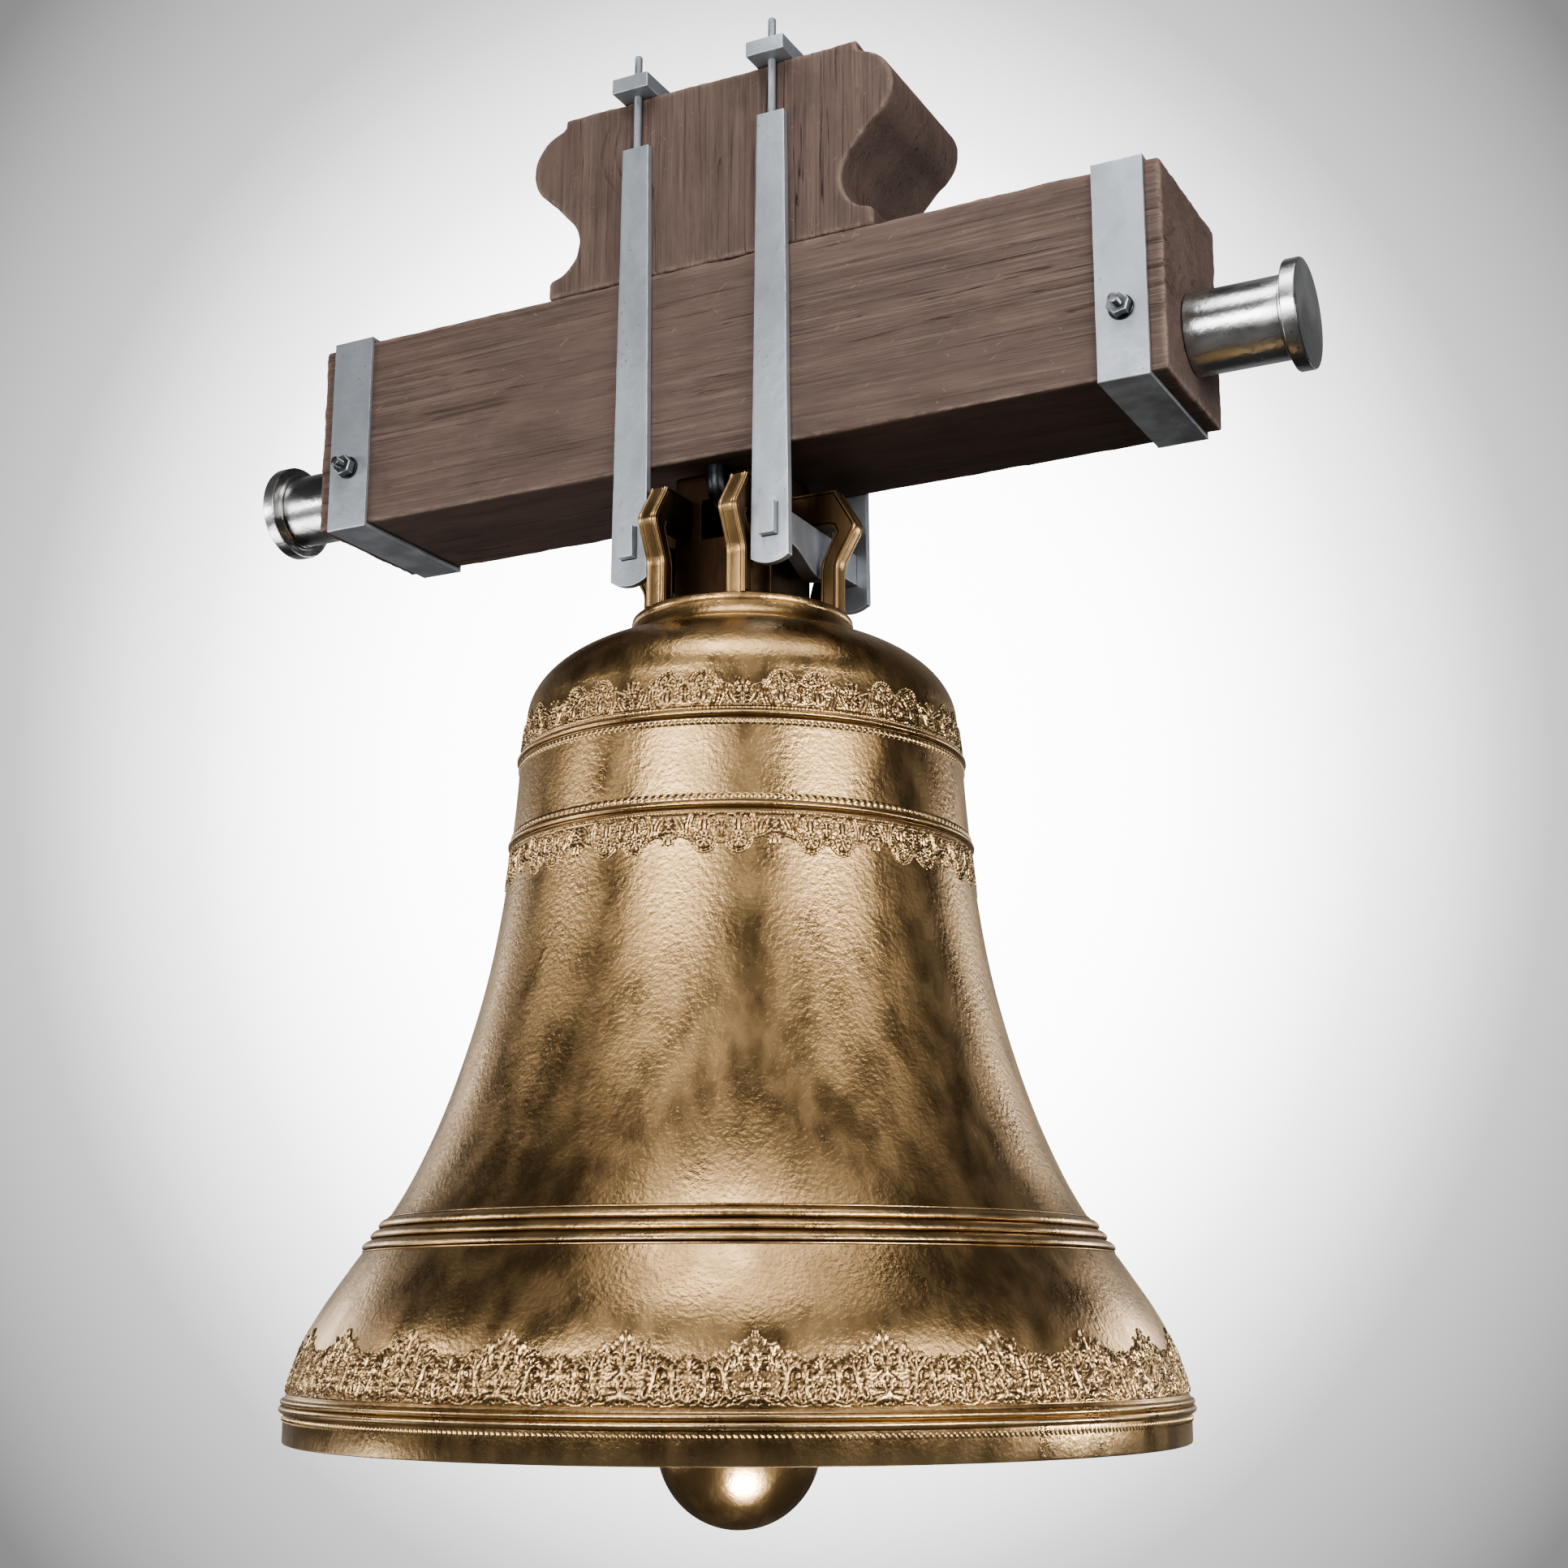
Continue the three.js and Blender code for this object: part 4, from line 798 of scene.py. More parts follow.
def rosette_strokes():
    """Half of one rosette pair, in millimetres from its axis and its base line."""
    return [
        # rosette with its scalloped, beaded hood
        *rosette(20, 31.6, 8.4), ring(20, 31.6, 8.8, 0, 360, 0.8, 22),
        *beaded(20, 31.6, 14.8, -22, 170, 15, 1.35), ring(20, 31.6, 11.8, -36, 188, 0.7),
        # seed pod under the rosette and leaves beside it
        bezier((20, 21), (20, 16), (20, 10.5), 2.1), bezier((24, 20.5), (27.5, 15), (23, 9.5), 1.0),
        bezier((16, 20.5), (12.5, 15), (17, 9.5), 1.0), dot(29.2, 20.5, 1.1), dot(30.2, 16.4, 1.0),
        dot(11.0, 20.5, 1.1), bezier((26, 6.5), (31, 8.5), (32.5, 13.5), 1.0),
        scroll(27.4, 11.2, 2.9, 30, 1.1, 0.8), scroll(12.4, 11.0, 2.9, 150, -1.1, 0.8),
        bezier((8, 6), (12.5, 4.6), (16, 7.5), 0.9), bezier((23, 6), (28, 3.6), (34, 5), 0.9),
        # middle of the pair
        bezier((0, 36), (0, 32), (0, 28), 1.4), bezier((0.6, 29), (4.4, 27.5), (6.0, 22), 1.1),
        bezier((0.6, 31), (3.0, 33), (4.6, 37.0), 1.0), scroll(5.4, 15.6, 3.6, 90, -1.2, 0.85),
        dot(5.4, 15.6, 0.9), bezier((0, 26), (0, 20), (0, 12), 1.4), dot(2.4, 8.4, 1.0), dot(7.4, 9.2, 0.9),
        dot(3.4, 22.6, 0.8), dot(8.2, 26, 0.9),
        # sweeping scrolls that close the pair
        bezier((33.5, 33), (41, 22), (33.5, 5), 1.1, False, 12), bezier((37, 31), (45.4, 20), (36.6, 5), 1.2, False, 12),
        bezier((40, 30.4), (50, 28.4), (58, 21.4), 1.1, False, 12), dot(40.4, 34.2, 1.2),
        bezier((44, 22), (46, 12), (52, 6.4), 1.1), bezier((48, 25), (49, 15), (57, 8.4), 1.0),
        # lily and flower between two pairs
        bezier((62, 37.6), (61.4, 33), (62, 25.5), 1.8), bezier((56.4, 36.8), (55, 31), (60.6, 26), 1.3),
        bezier((50.8, 29.6), (55.4, 30), (59.4, 24), 1.0), dot(55.2, 37.2, 1.2),
        bezier((60.6, 24), (57.6, 22.5), (60.6, 20.6), 0.9), bezier((61.4, 19), (56.8, 19.8), (52.6, 17.8), 1.1),
        bezier((61.4, 15.6), (56.6, 13.6), (52.8, 15), 1.1), bezier((61.2, 12.8), (58.6, 9.6), (55, 9.2), 1.1),
        dot(62, 16.8, 1.7),
        # beaded line along the foot
        *[dot(2.05 + 4.13 * i, 2.4, 1.15) for i in range(15)], [(0, 0.5, 0.6), (66, 0.5, 0.6)],
        [(0, 4.4, 0.5), (66, 4.4, 0.5)],
    ]


def ridges(across, up, strokes, crest):
    """Heights of the strokes over a grid of places, as rounded ridges."""
    height = np.zeros_like(across)
    for stroke in strokes:
        for (x0, y0, w0), (x1, y1, w1) in zip(stroke, stroke[1:]):
            dx, dy = x1 - x0, y1 - y0
            t = np.clip(((across - x0) * dx + (up - y0) * dy) / (dx * dx + dy * dy), 0, 1)
            gap = np.hypot(across - x0 - t * dx, up - y0 - t * dy) / (w0 + (w1 - w0) * t) / 1.2
            np.maximum(height, np.clip(1 - gap * gap, 0, 1) ** 0.7, out=height)
    return height * crest


def seeds(strokes, outline, half, size):
    """Small beads that fill the open ground between the strokes."""
    pitch_x, pitch_y = size * 2.75, size * 2.4
    rows = int(max(y for _, y in outline) / pitch_y)
    places = [((column + 0.5 * (row % 2)) * pitch_x, (row + 1) * pitch_y)
              for row in range(rows) for column in range(int(half / pitch_x) + 1)]
    x, y = (np.array(values) for values in zip(*places))
    room = np.interp(x, [point[0] for point in outline], [point[1] for point in outline]) - y
    for stroke in strokes:
        for (x0, y0, w0), (x1, y1, w1) in zip(stroke, stroke[1:]):
            dx, dy = x1 - x0, y1 - y0
            t = np.clip(((x - x0) * dx + (y - y0) * dy) / (dx * dx + dy * dy), 0, 1)
            room = np.minimum(room, np.hypot(x - x0 - t * dx, y - y0 - t * dy) - w0 - (w1 - w0) * t)
    return [dot(a, b, size * 0.8) for a, b, clear in zip(x, y, room) if clear > size * 1.15]


def cavity(height):
    """How far each place of a relief stands over its neighbours, as a tone for painted shade and painted highlight:
    low in hollows, high on crests.
    """
    wide = np.pad(height, 2, mode="wrap")
    wide[:2], wide[-2:] = wide[2], wide[-3]
    rows, columns = height.shape
    around = sum(wide[y:y + rows, x:x + columns] for y in range(5) for x in range(5)) / 25
    return np.clip(0.22 + 1050 * (height - around), -0.42, 1.1)


def frieze(bm, curve, repeats, turn, base, top, cells, height_at, knee=None):
    """A closed ring of relief: one motif is raised on a grid, wrapped and repeated round the bell."""
    columns, rows = cells
    bmesh.ops.create_grid(bm, x_segments=columns, y_segments=rows, size=0.5)
    relief = bm.verts.layers.float.new("relief")
    verts = bm.verts[:]
    across = np.array([vert.co.x for vert in verts])
    up = np.array([vert.co.y + 0.5 for vert in verts])
    if knee:
        up = np.interp(up, (0, knee[0], 1), (0, knee[1], 1))
    raised = height_at(across, up)
    order = np.lexsort((np.round(across, 5), np.round(up, 5)))
    # Painted shade and highlight: each vertex's tone comes from the cavity of the relief.
    tone = np.empty(len(verts))
    tone[order] = cavity(raised[order].reshape(rows + 1, columns + 1)).ravel()
    step = TURN / repeats
    for vert, out, shade, share_up in zip(verts, raised, tone, up):
        level = base + float(share_up) * (top - base)
        radius = outside(curve, level)
        slope = (outside(curve, level + 0.001) - outside(curve, level - 0.001)) / 0.002
        lean = math.hypot(1.0, slope)
        radius, level = radius + out / lean, level - out * slope / lean
        angle = turn + step * vert.co.x
        vert.co = (radius * math.cos(angle), radius * math.sin(angle), MOUTH_Z + level)
        vert[relief] = shade
    bmesh.ops.spin(bm, geom=bm.verts[:] + bm.edges[:] + bm.faces[:], cent=(0, 0, 0), axis=(0, 0, 1),
                   dvec=(0, 0, 0), angle=TURN - step, steps=repeats - 1, use_merge=False,
                   use_normal_flip=False, use_duplicate=True)
    bmesh.ops.remove_doubles(bm, verts=bm.verts[:], dist=0.0001)
    border = [edge for edge in bm.edges if edge.is_boundary]
    bmesh.ops.bridge_loops(bm, edges=border)
    bmesh.ops.recalc_face_normals(bm, faces=bm.faces[:])


def sunk_edges(up, height, sink, ends):
    """Lets a relief's lower and upper borders run under the bell's surface."""
    low, high = ends
    inside_share = np.clip(up / low, 0, 1) * np.clip((1 - up) / high, 0, 1)
    return np.where(inside_share < 1, height * inside_share - sink * (1 - inside_share), height)


def motif_heights(strokes, outline, half, tall, crest, sink, flip=False, slim=1.0, seed=1.15):
    """The height function of a mirrored motif whose ground ends at an outline."""
    strokes = [[(x, y, width * slim) for x, y, width in stroke] for stroke in strokes]
    strokes += seeds(strokes, outline, half, seed)

    def height_at(across, up):
        x = np.abs(across) * 2 * half
        y = (1 - up if flip else up) * tall
        ground_top = np.interp(x, [point[0] for point in outline], [point[1] for point in outline])
        ground = np.where(y < ground_top, 0.0003, -sink)
        lift = ridges(x, y, strokes, crest)
        height = np.where(lift > 0.0002, np.maximum(lift, ground), ground)
        return sunk_edges(up, height, sink, (0.02, 0.02))
    return height_at


def bead_heights(per_cell, crest, sink, lean):
    """The height function of a row of small leaning leaves between two fine lines."""
    def height_at(across, up):
        phase = ((across + 0.5) * per_cell + lean * (up - 0.5)) % 1.0 - 0.5
        body = np.clip(1 - (phase / 0.42) ** 2 - ((up - 0.5) / 0.44) ** 2, 0, 1)
        vein = 1 - 0.45 * np.exp(-((phase - 0.08) / 0.10) ** 2)
        height = crest * np.sqrt(body) * vein
        return sunk_edges(up, np.maximum(height, 0.0003), sink, (0.12, 0.12))
    return height_at


def scallop_heights(per_cell, crest, sink, down):
    """The height function of a scalloped edging with a pearl in each scallop."""
    def height_at(across, up):
        phase = ((across + 0.5) * per_cell) % 1.0 - 0.5
        reach = up if down else 1 - up
        edge = 0.42 - 0.34 * np.sqrt(np.clip(1 - (phase / 0.5) ** 2, 0, 1))
        lift = np.clip((reach - edge) / 0.14, 0, 1)
        pearl = np.clip(1 - (phase / 0.30) ** 2 - ((reach - 0.48) / 0.24) ** 2, 0, 1)
        notch = 1 - 0.5 * np.exp(-((np.abs(phase) - 0.5) / 0.09) ** 2) * (reach < 0.7)
        height = crest * lift * (0.55 + 0.45 * np.sqrt(pearl)) * notch
        return sunk_edges(up, np.maximum(height, -sink), sink, (0.10, 0.10))
    return height_at


PEAK_OUTLINE = ((0, 70), (5.4, 65), (6.5, 62), (12, 59), (17, 57.6), (23, 61), (25.5, 55), (29, 50.5),
                (34, 53), (40, 51), (44, 47), (49, 47.5), (54, 45), (58, 47), (62.8, 47))
ROSETTE_OUTLINE = ((0, 36.5), (2.5, 37.5), (6, 42), (11, 45.6), (20, 47.8), (28, 46), (33, 41.5), (36.5, 35.5),
                   (41, 32), (47, 30), (52, 30.5), (55.5, 35.5), (62, 39))


class BELL_OT_friezes(bpy.types.Operator):
    """Raises the four friezes' scrolls, rosettes and beads on the bell"""
    bl_idname = "bell.friezes"
    bl_label = "Friezes"

    def execute(self, context):
        bell, sizes = context.scene.bell_sizes, context.scene.frieze_sizes
        curve = waist_curve(bell)
        lace_crest, sink = sizes.lace_crest, sizes.sink
        rosettes = rosette_strokes()
        bands = (
            ("large_frieze", sizes.peaks, sizes.peak_turn, 0.0512, 0.1220, (88, 44),
             motif_heights(peak_strokes(), PEAK_OUTLINE, 62.8, 70.8, sizes.crest, sink, slim=0.84)),
            ("shoulder_frieze", sizes.rosettes_high, sizes.high_turn, 0.7722, 0.8232, (104, 42),
             motif_heights(rosettes, ROSETTE_OUTLINE, 62.0, 49.5, lace_crest, sink, slim=0.86)),
            ("hanging_frieze", sizes.rosettes_low, sizes.low_turn, 0.6085, 0.6596, (96, 42),
             motif_heights(rosettes, ROSETTE_OUTLINE, 62.0, 49.5, lace_crest, sink, True, 0.86)),
            ("lip_beads", 30, 0.0, 0.0212, 0.0312, (102, 10),
             bead_heights(17, sizes.bead_crest * 1.25, 0.0008, 0.45)),
            ("upper_leaf_row", 20, 0.0, 0.7546, 0.7632, (88, 10),
             scallop_heights(11, sizes.bead_crest * 0.8, 0.0008, True)),
            ("lower_leaf_row", 18, 0.0, 0.6698, 0.6794, (88, 10),
             scallop_heights(11, sizes.bead_crest * 0.8, 0.0008, False)),
        )
        for name, repeats, turn, base, top, cells, height_at in bands:
            bm = bmesh.new()
            frieze(bm, curve, repeats, turn, base, top, cells, height_at,
                   (0.818, 0.706) if name == "large_frieze" else None)
            finished(bm, name, "frieze", "bell", sharp=60.0, flat_sided=False)
        return {"FINISHED"}


# ---------- Crown ----------

def canon_outline(crown, foot, proud, back, root):
    """(reach, height) round a canon from its side, and how many points its outer face has."""
    top = BEAM_LOW.z - crown.canon_drop
    arm = top - crown.canon_arm
    bottom = MOUTH_Z + 0.950 - 0.0016
    ankle, bend = top - 0.094, top - 0.047
    elbow = foot + proud
    outer = [(foot, bottom), (foot, ankle - 0.006), (foot + 0.0006, ankle), (foot + 0.003, ankle + 0.006)]
    outer += [(elbow - 0.003, bend - 0.0095), (elbow - 0.0008, bend - 0.004), (elbow, bend),
              (elbow - 0.0010, bend + 0.004), (elbow - 0.0035, bend + 0.009)]
    outer += [(elbow - back + 0.0025, top - 0.006), (elbow - back, top)]
    inner = [(root, top), (root, arm), (elbow - crown.canon_elbow - 0.010, arm)]
    inner += [(elbow - crown.canon_elbow - 0.003, arm - 0.002), (elbow - crown.canon_elbow, arm - 0.009)]
    inner += [(foot - crown.canon_leg + 0.002, ankle + 0.006), (foot - crown.canon_leg, ankle - 0.004),
              (foot - crown.canon_leg, bottom)]
    return outer, inner


# Across a canon: share of its half thickness, and how far its outer face stands back
CANON_RIBS = ((-1.0, 1.9), (-0.93, 1.2), (-0.84, 1.3), (-0.80, 0.4), (-0.72, 0.0), (-0.64, 0.4),
              (-0.60, 1.4), (-0.50, 1.5), (-0.40, 0.9), (0.40, 0.9), (0.50, 1.5), (0.60, 1.4),
              (0.64, 0.4), (0.72, 0.0), (0.80, 0.4), (0.84, 1.3), (0.93, 1.2), (1.0, 1.9))


def canon(crown, foot, proud, back, root):
    """One canon loop along +X, with ribs down its outer face and sunk panels on its sides."""
    bm = bmesh.new()
    relief = bm.verts.layers.float.new("relief")
    outer, inner = canon_outline(crown, foot, proud, back, root)
    outline = outer + inner
    count_outer = len(outer)
    outward = []
    for i in range(count_outer):
        ahead, behind = Vector(outline[min(i + 1, count_outer - 1)]), Vector(outline[max(i - 1, 0)])
        along = (ahead - behind).normalized()
        outward.append(Vector((along.y, -along.x)))
    half = crown.canon_thickness / 2
    verts = [bm.verts.new((x, 0.0, z)) for x, z in outline]
    loop = [bm.edges.new(pair) for pair in zip(verts, verts[1:] + verts[:1])]
    rows = [verts]
    for _ in CANON_RIBS[1:]:
        made = bmesh.ops.extrude_edge_only(bm, edges=loop)["geom"]
        new_verts = [item for item in made if isinstance(item, bmesh.types.BMVert)]
        pairs = {vert: next(edge.other_vert(vert) for edge in vert.link_edges
                            if edge.other_vert(vert) in rows[-1]) for vert in new_verts}
        backwards = {old: new for new, old in pairs.items()}
        rows.append([backwards[old] for old in rows[-1]])
        loop = [item for item in made if isinstance(item, bmesh.types.BMEdge)
                and all(vert in pairs for vert in item.verts)]
    for row, (place, set_back) in zip(rows, CANON_RIBS):
        for i, vert in enumerate(row):
            vert.co.y = place * half
            if i < count_outer:
                vert.co -= Vector((outward[i].x, 0.0, outward[i].y)) * set_back * MM
    caps = [bm.faces.new(rows[0]), bm.faces.new(rows[-1])]
    bmesh.ops.recalc_face_normals(bm, faces=bm.faces[:])
    # Painted highlight on the ribs' crests; painted shade in the grooves between them, on the canon's sides under
    # the timber, and deepest in the sunk side panels.
    for row, (place, set_back) in zip(rows, CANON_RIBS):
        for i, vert in enumerate(row):
            vert[relief] = max(-0.20, 1.0 - 0.85 * set_back) if i < count_outer else -0.26
    for thickness, depth, tone in ((0.0022, 0.0, -0.26), (0.0009, -0.0010, -0.60), (0.0009, 0.0010, -0.28)):
        before = set(bm.verts)
        bmesh.ops.inset_individual(bm, faces=caps, thickness=thickness, depth=depth, use_even_offset=True)
        for vert in set(bm.verts) - before:
            vert[relief] = tone
    return bm


class BELL_OT_crown(bpy.types.Operator):
    """Builds the argent with its eye and the six canons"""
    bl_idname = "bell.crown"
    bl_label = "Crown"

    def execute(self, context):
        crown = context.scene.crown_sizes
        bm = bmesh.new()
        half_x, half_y = crown.argent_half_width, crown.argent_half_depth
        bottom, top = MOUTH_Z + 0.950 - 0.012, BEAM_LOW.z - 0.0003
        eye_top = BEAM_LOW.z - crown.eye_drop
        eye_low = eye_top - crown.eye_height
        bmesh.ops.create_grid(bm, x_segments=3, y_segments=3, size=0.5,
                              matrix=Matrix.Rotation(math.pi / 2, 4, "X"))
        lines_x = (-half_x, -crown.eye_half_width, crown.eye_half_width, half_x)
        lines_z = (bottom, eye_low, eye_top, top)
        for vert in bm.verts:
            column, row = round((vert.co.x + 0.5) * 3), round((vert.co.z + 0.5) * 3)
            vert.co = (lines_x[column], -half_y, lines_z[row])
        hole = [face for face in bm.faces if face.calc_center_median().xz.length < 1.0
                and abs(face.calc_center_median().x) < 0.01 and eye_low < face.calc_center_median().z < eye_top]
        bmesh.ops.delete(bm, geom=hole, context="FACES")
        made = bmesh.ops.extrude_face_region(bm, geom=bm.faces[:])["geom"]
        moved = [item for item in made if isinstance(item, bmesh.types.BMVert)]
        bmesh.ops.translate(bm, vec=(0.0, 2 * half_y, 0.0), verts=moved)
        bmesh.ops.recalc_face_normals(bm, faces=bm.faces[:])
        soften(bm, 0.0030, 3)
        # Painted shade: the whole argent takes a dark tone, as it lies in shade under the timber.
        relief = bm.verts.layers.float.new("relief")
        for vert in bm.verts:
            vert[relief] = -0.38
        for turn in (0.0, math.pi):
            parts = [(canon(crown, 0.134, 0.024, 0.025, half_x - 0.006), 0.0, 0.0)]
            parts += [(canon(crown, 0.120, 0.022, 0.028, half_y - 0.006), math.pi / 2, x)
                      for x in (-crown.canon_spacing, crown.canon_spacing)]
            for other, quarter, x in parts:
                place = Matrix.Translation((x, 0.0, 0.0)) @ Matrix.Rotation(turn + quarter, 4, "Z")
                bmesh.ops.transform(other, matrix=place, verts=other.verts[:])
                join(bm, other)
        finished(bm, "crown_and_canons", "crown", "bell", sharp=30.0)
        return {"FINISHED"}


# ---------- Timber ----------

def grid_lines(low, high, pitch, corner):
    """Places along one side of a timber, close together at both ends for the rounded edges."""
    ends = [corner * share_of for share_of in (0.0, 0.25, 0.6, 1.0, 1.6)]
    inner_low, inner_high = low + ends[-1] + corner, high - ends[-1] - corner
    steps = max(1, round((inner_high - inner_low) / pitch))
    middle = [inner_low + (inner_high - inner_low) * i / steps for i in range(steps + 1)]
    return [low + step for step in ends] + middle + [high - step for step in reversed(ends)]


def timber_box(bm, lines):
    """A cube cut to the given lines on each axis."""
    bmesh.ops.create_cube(bm, size=1.0)
    for axis in range(3):
        along = [edge for edge in bm.edges
                 if abs(edge.verts[0].co[axis] - edge.verts[1].co[axis]) > 0.5]
        bmesh.ops.subdivide_edges(bm, edges=along, cuts=len(lines[axis]) - 2, use_grid_fill=True)
    for vert in bm.verts:
        vert.co = [lines[axis][round((vert.co[axis] + 0.5) * (len(lines[axis]) - 1))] for axis in range(3)]


def weather(bm, sizes, low, high, along, seed):
    """Rounds the edges unevenly and opens the grain and the drying cracks."""
    groove, wear = bm.verts.layers.float.new("groove"), bm.verts.layers.float.new("wear")
    shift = Vector((seed, 2 * seed, 3 * seed))
    for vert in bm.verts:
        place = vert.co.copy()
        radius = sizes.edge_radius * (1.0 + 0.9 * noise.noise(place * 22 + shift)
                                      + 0.5 * noise.noise(place * 90 + shift))
        radius = max(0.0015, radius)
        core = Vector([min(max(place[i], low[i] + radius), high[i] - radius) for i in range(3)])
        away = place - core
        sides = sum(abs(value) > 1e-6 for value in away)
        if sides > 1:
            place = core + away.normalized() * radius
            vert.co = place
        near = sorted(min(place[i] - low[i], high[i] - place[i]) for i in range(3))
        vert[wear] = 1.0 - smooth_step(near[1], 0.0008, 0.0085)
    bm.normal_update()
    grain = "xyz".index(along)
    for vert in bm.verts:
        place = vert.co + shift
        run = place.copy()
        run[grain] *= 0.04
        level = noise.noise(run * 30 + shift)
        crack = 1.0 - smooth_step(abs(level), 0.006, 0.030)
        crack *= smooth_step(noise.noise(place * 6.5 - shift), 0.22, 0.38)
        dent = smooth_step(noise.noise(place * 46), 0.50, 0.66)
        vert[groove] = crack
        drop = sizes.crack_depth * crack + sizes.groove_depth * dent
        vert.co += vert.normal * (0.00025 * noise.noise(run * 60) - drop)


def block_half_width(level, tall):
    """Half width of the shaped block at a height above its foot."""
    end = tall - 0.034
    bulge, cove = 0.2364 * end, 0.227 * end
    outline = [(0.0, 0.226), (0.024, 0.226)]
    outline += [(z, x) for x, z in arc((0.226 + cove / 8, 0.024 + cove * 23 / 24), cove, 262, 132, 24)]
    outline += [(z, x) for x, z in arc((0.206 - 0.06 * bulge, tall - 0.010 - 1.1 * bulge), bulge, -62, 78, 24)]
    outline += [(tall - 0.010, 0.206), (tall, 0.206)]
    outline.sort()
    return float(np.interp(level, [point[0] for point in outline], [point[1] for point in outline]))


class BELL_OT_timber(bpy.types.Operator):
    """Models the headstock beam and the shaped block, with open grain, cracks and worn edges"""
    bl_idname = "bell.timber"
    bl_label = "Timber"

    def execute(self, context):
        sizes = context.scene.timber_sizes
        corner = sizes.edge_radius
        bm = bmesh.new()
        pitches = (sizes.long_pitch, sizes.pitch, sizes.pitch)
        timber_box(bm, [grid_lines(BEAM_LOW[i], BEAM_HIGH[i], pitches[i], corner) for i in range(3)])
        weather(bm, sizes, BEAM_LOW, BEAM_HIGH, "x", 3.7)
        finished(bm, "beam_timber", "beam", "bell", ["headstock_beam"], sharp=70.0,
                 flat_sided=False)

        bm = bmesh.new()
        tall = BLOCK_HIGH.z - BLOCK_LOW.z
        half = 0.206
        low = Vector((-half, BLOCK_LOW.y, BLOCK_LOW.z))
        high = Vector((half, BLOCK_HIGH.y, BLOCK_HIGH.z))
        pitches = (0.0026, 0.0032, 0.0042)
        timber_box(bm, [grid_lines(low[i], high[i], pitches[i], corner) for i in range(3)])
        weather(bm, sizes, low, high, "z", 9.1)
        for vert in bm.verts:
            vert.co.x *= block_half_width(vert.co.z - BLOCK_LOW.z, tall) / half
        finished(bm, "block_timber", "block", "bell", ["headstock_block"], sharp=50.0,
                 flat_sided=False)
        return {"FINISHED"}


# ---------- Hangers ----------

def strap(sizes, node):
    """A tapered hanger strap with its slot and rounded toe."""
    low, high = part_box(node)
    bar_low, bar_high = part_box("canon_bar_right")
    middle = (low.x + high.x) / 2
    top = BEAM_HIGH.z + 0.1745
    toe = BEAM_LOW.z - 0.142
    slot_half = (bar_high.x - bar_low.x) / 2 + 0.0004
    slot_low, slot_high = bar_high.z - 0.039 - 0.0006, bar_high.z + 0.0006
    near = low.y if abs(low.y) < abs(high.y) else high.y
    wide, narrow = 0.025, 0.0185
    rows = [toe, toe + 0.012, slot_low, (slot_low + slot_high) / 2, slot_high]
    rows += [slot_high + (top - slot_high) * (i + 1) / 34 for i in range(34)]
    columns = (-1.0, -0.8, -0.62, None, -0.2, 0.0, 0.2, None, 0.62, 0.8, 1.0)
    bm = bmesh.new()
    bmesh.ops.create_grid(bm, x_segments=len(columns) - 1, y_segments=len(rows) - 1, size=0.5,
                          matrix=Matrix.Rotation(math.pi / 2, 4, "X"))
    for vert in bm.verts:
        column = round((vert.co.x + 0.5) * (len(columns) - 1))
        row = round((vert.co.z + 0.5) * (len(rows) - 1))
        level = rows[row]
        half = wide + (narrow - wide) * (level - toe) / (top - toe)
        side = columns[column]
        x = half * side if side is not None else math.copysign(slot_half, column - 5)
        if row < 2:
            level -= (0.008 if row == 0 else 0.004) * (1 - (x / half) ** 2)
        vert.co = (middle + x, near, level)
    hole = [face for face in bm.faces
            if abs(face.calc_center_median().x - middle) < slot_half
            and slot_low < face.calc_center_median().z < slot_high]
    bmesh.ops.delete(bm, geom=hole, context="FACES")
    made = bmesh.ops.extrude_face_region(bm, geom=bm.faces[:])["geom"]
    moved = [item for item in made if isinstance(item, bmesh.types.BMVert)]
    bmesh.ops.translate(bm, vec=(0.0, math.copysign(sizes.strap, near), 0.0), verts=moved)
    bmesh.ops.recalc_face_normals(bm, faces=bm.faces[:])
    uneven(bm, sizes.unevenness)
    soften(bm, sizes.edge)
    return bm


def thread_profile(radius, start, end, sizes):
    """(radius, height) of a threaded round with a domed end."""
    turns = int((end - start) / sizes.pitch)
    profile = [(0.0, start), (radius - sizes.thread, start)]
    for i in range(turns):
        level = start + i * sizes.pitch
        profile += [(radius - sizes.thread, level + 0.15 * sizes.pitch), (radius, level + 0.45 * sizes.pitch),
                    (radius, level + 0.60 * sizes.pitch), (radius - sizes.thread, level + 0.9 * sizes.pitch)]
    return profile + [(radius - 1.6 * sizes.thread, end - 0.0002), (0.0, end + 0.0004)]


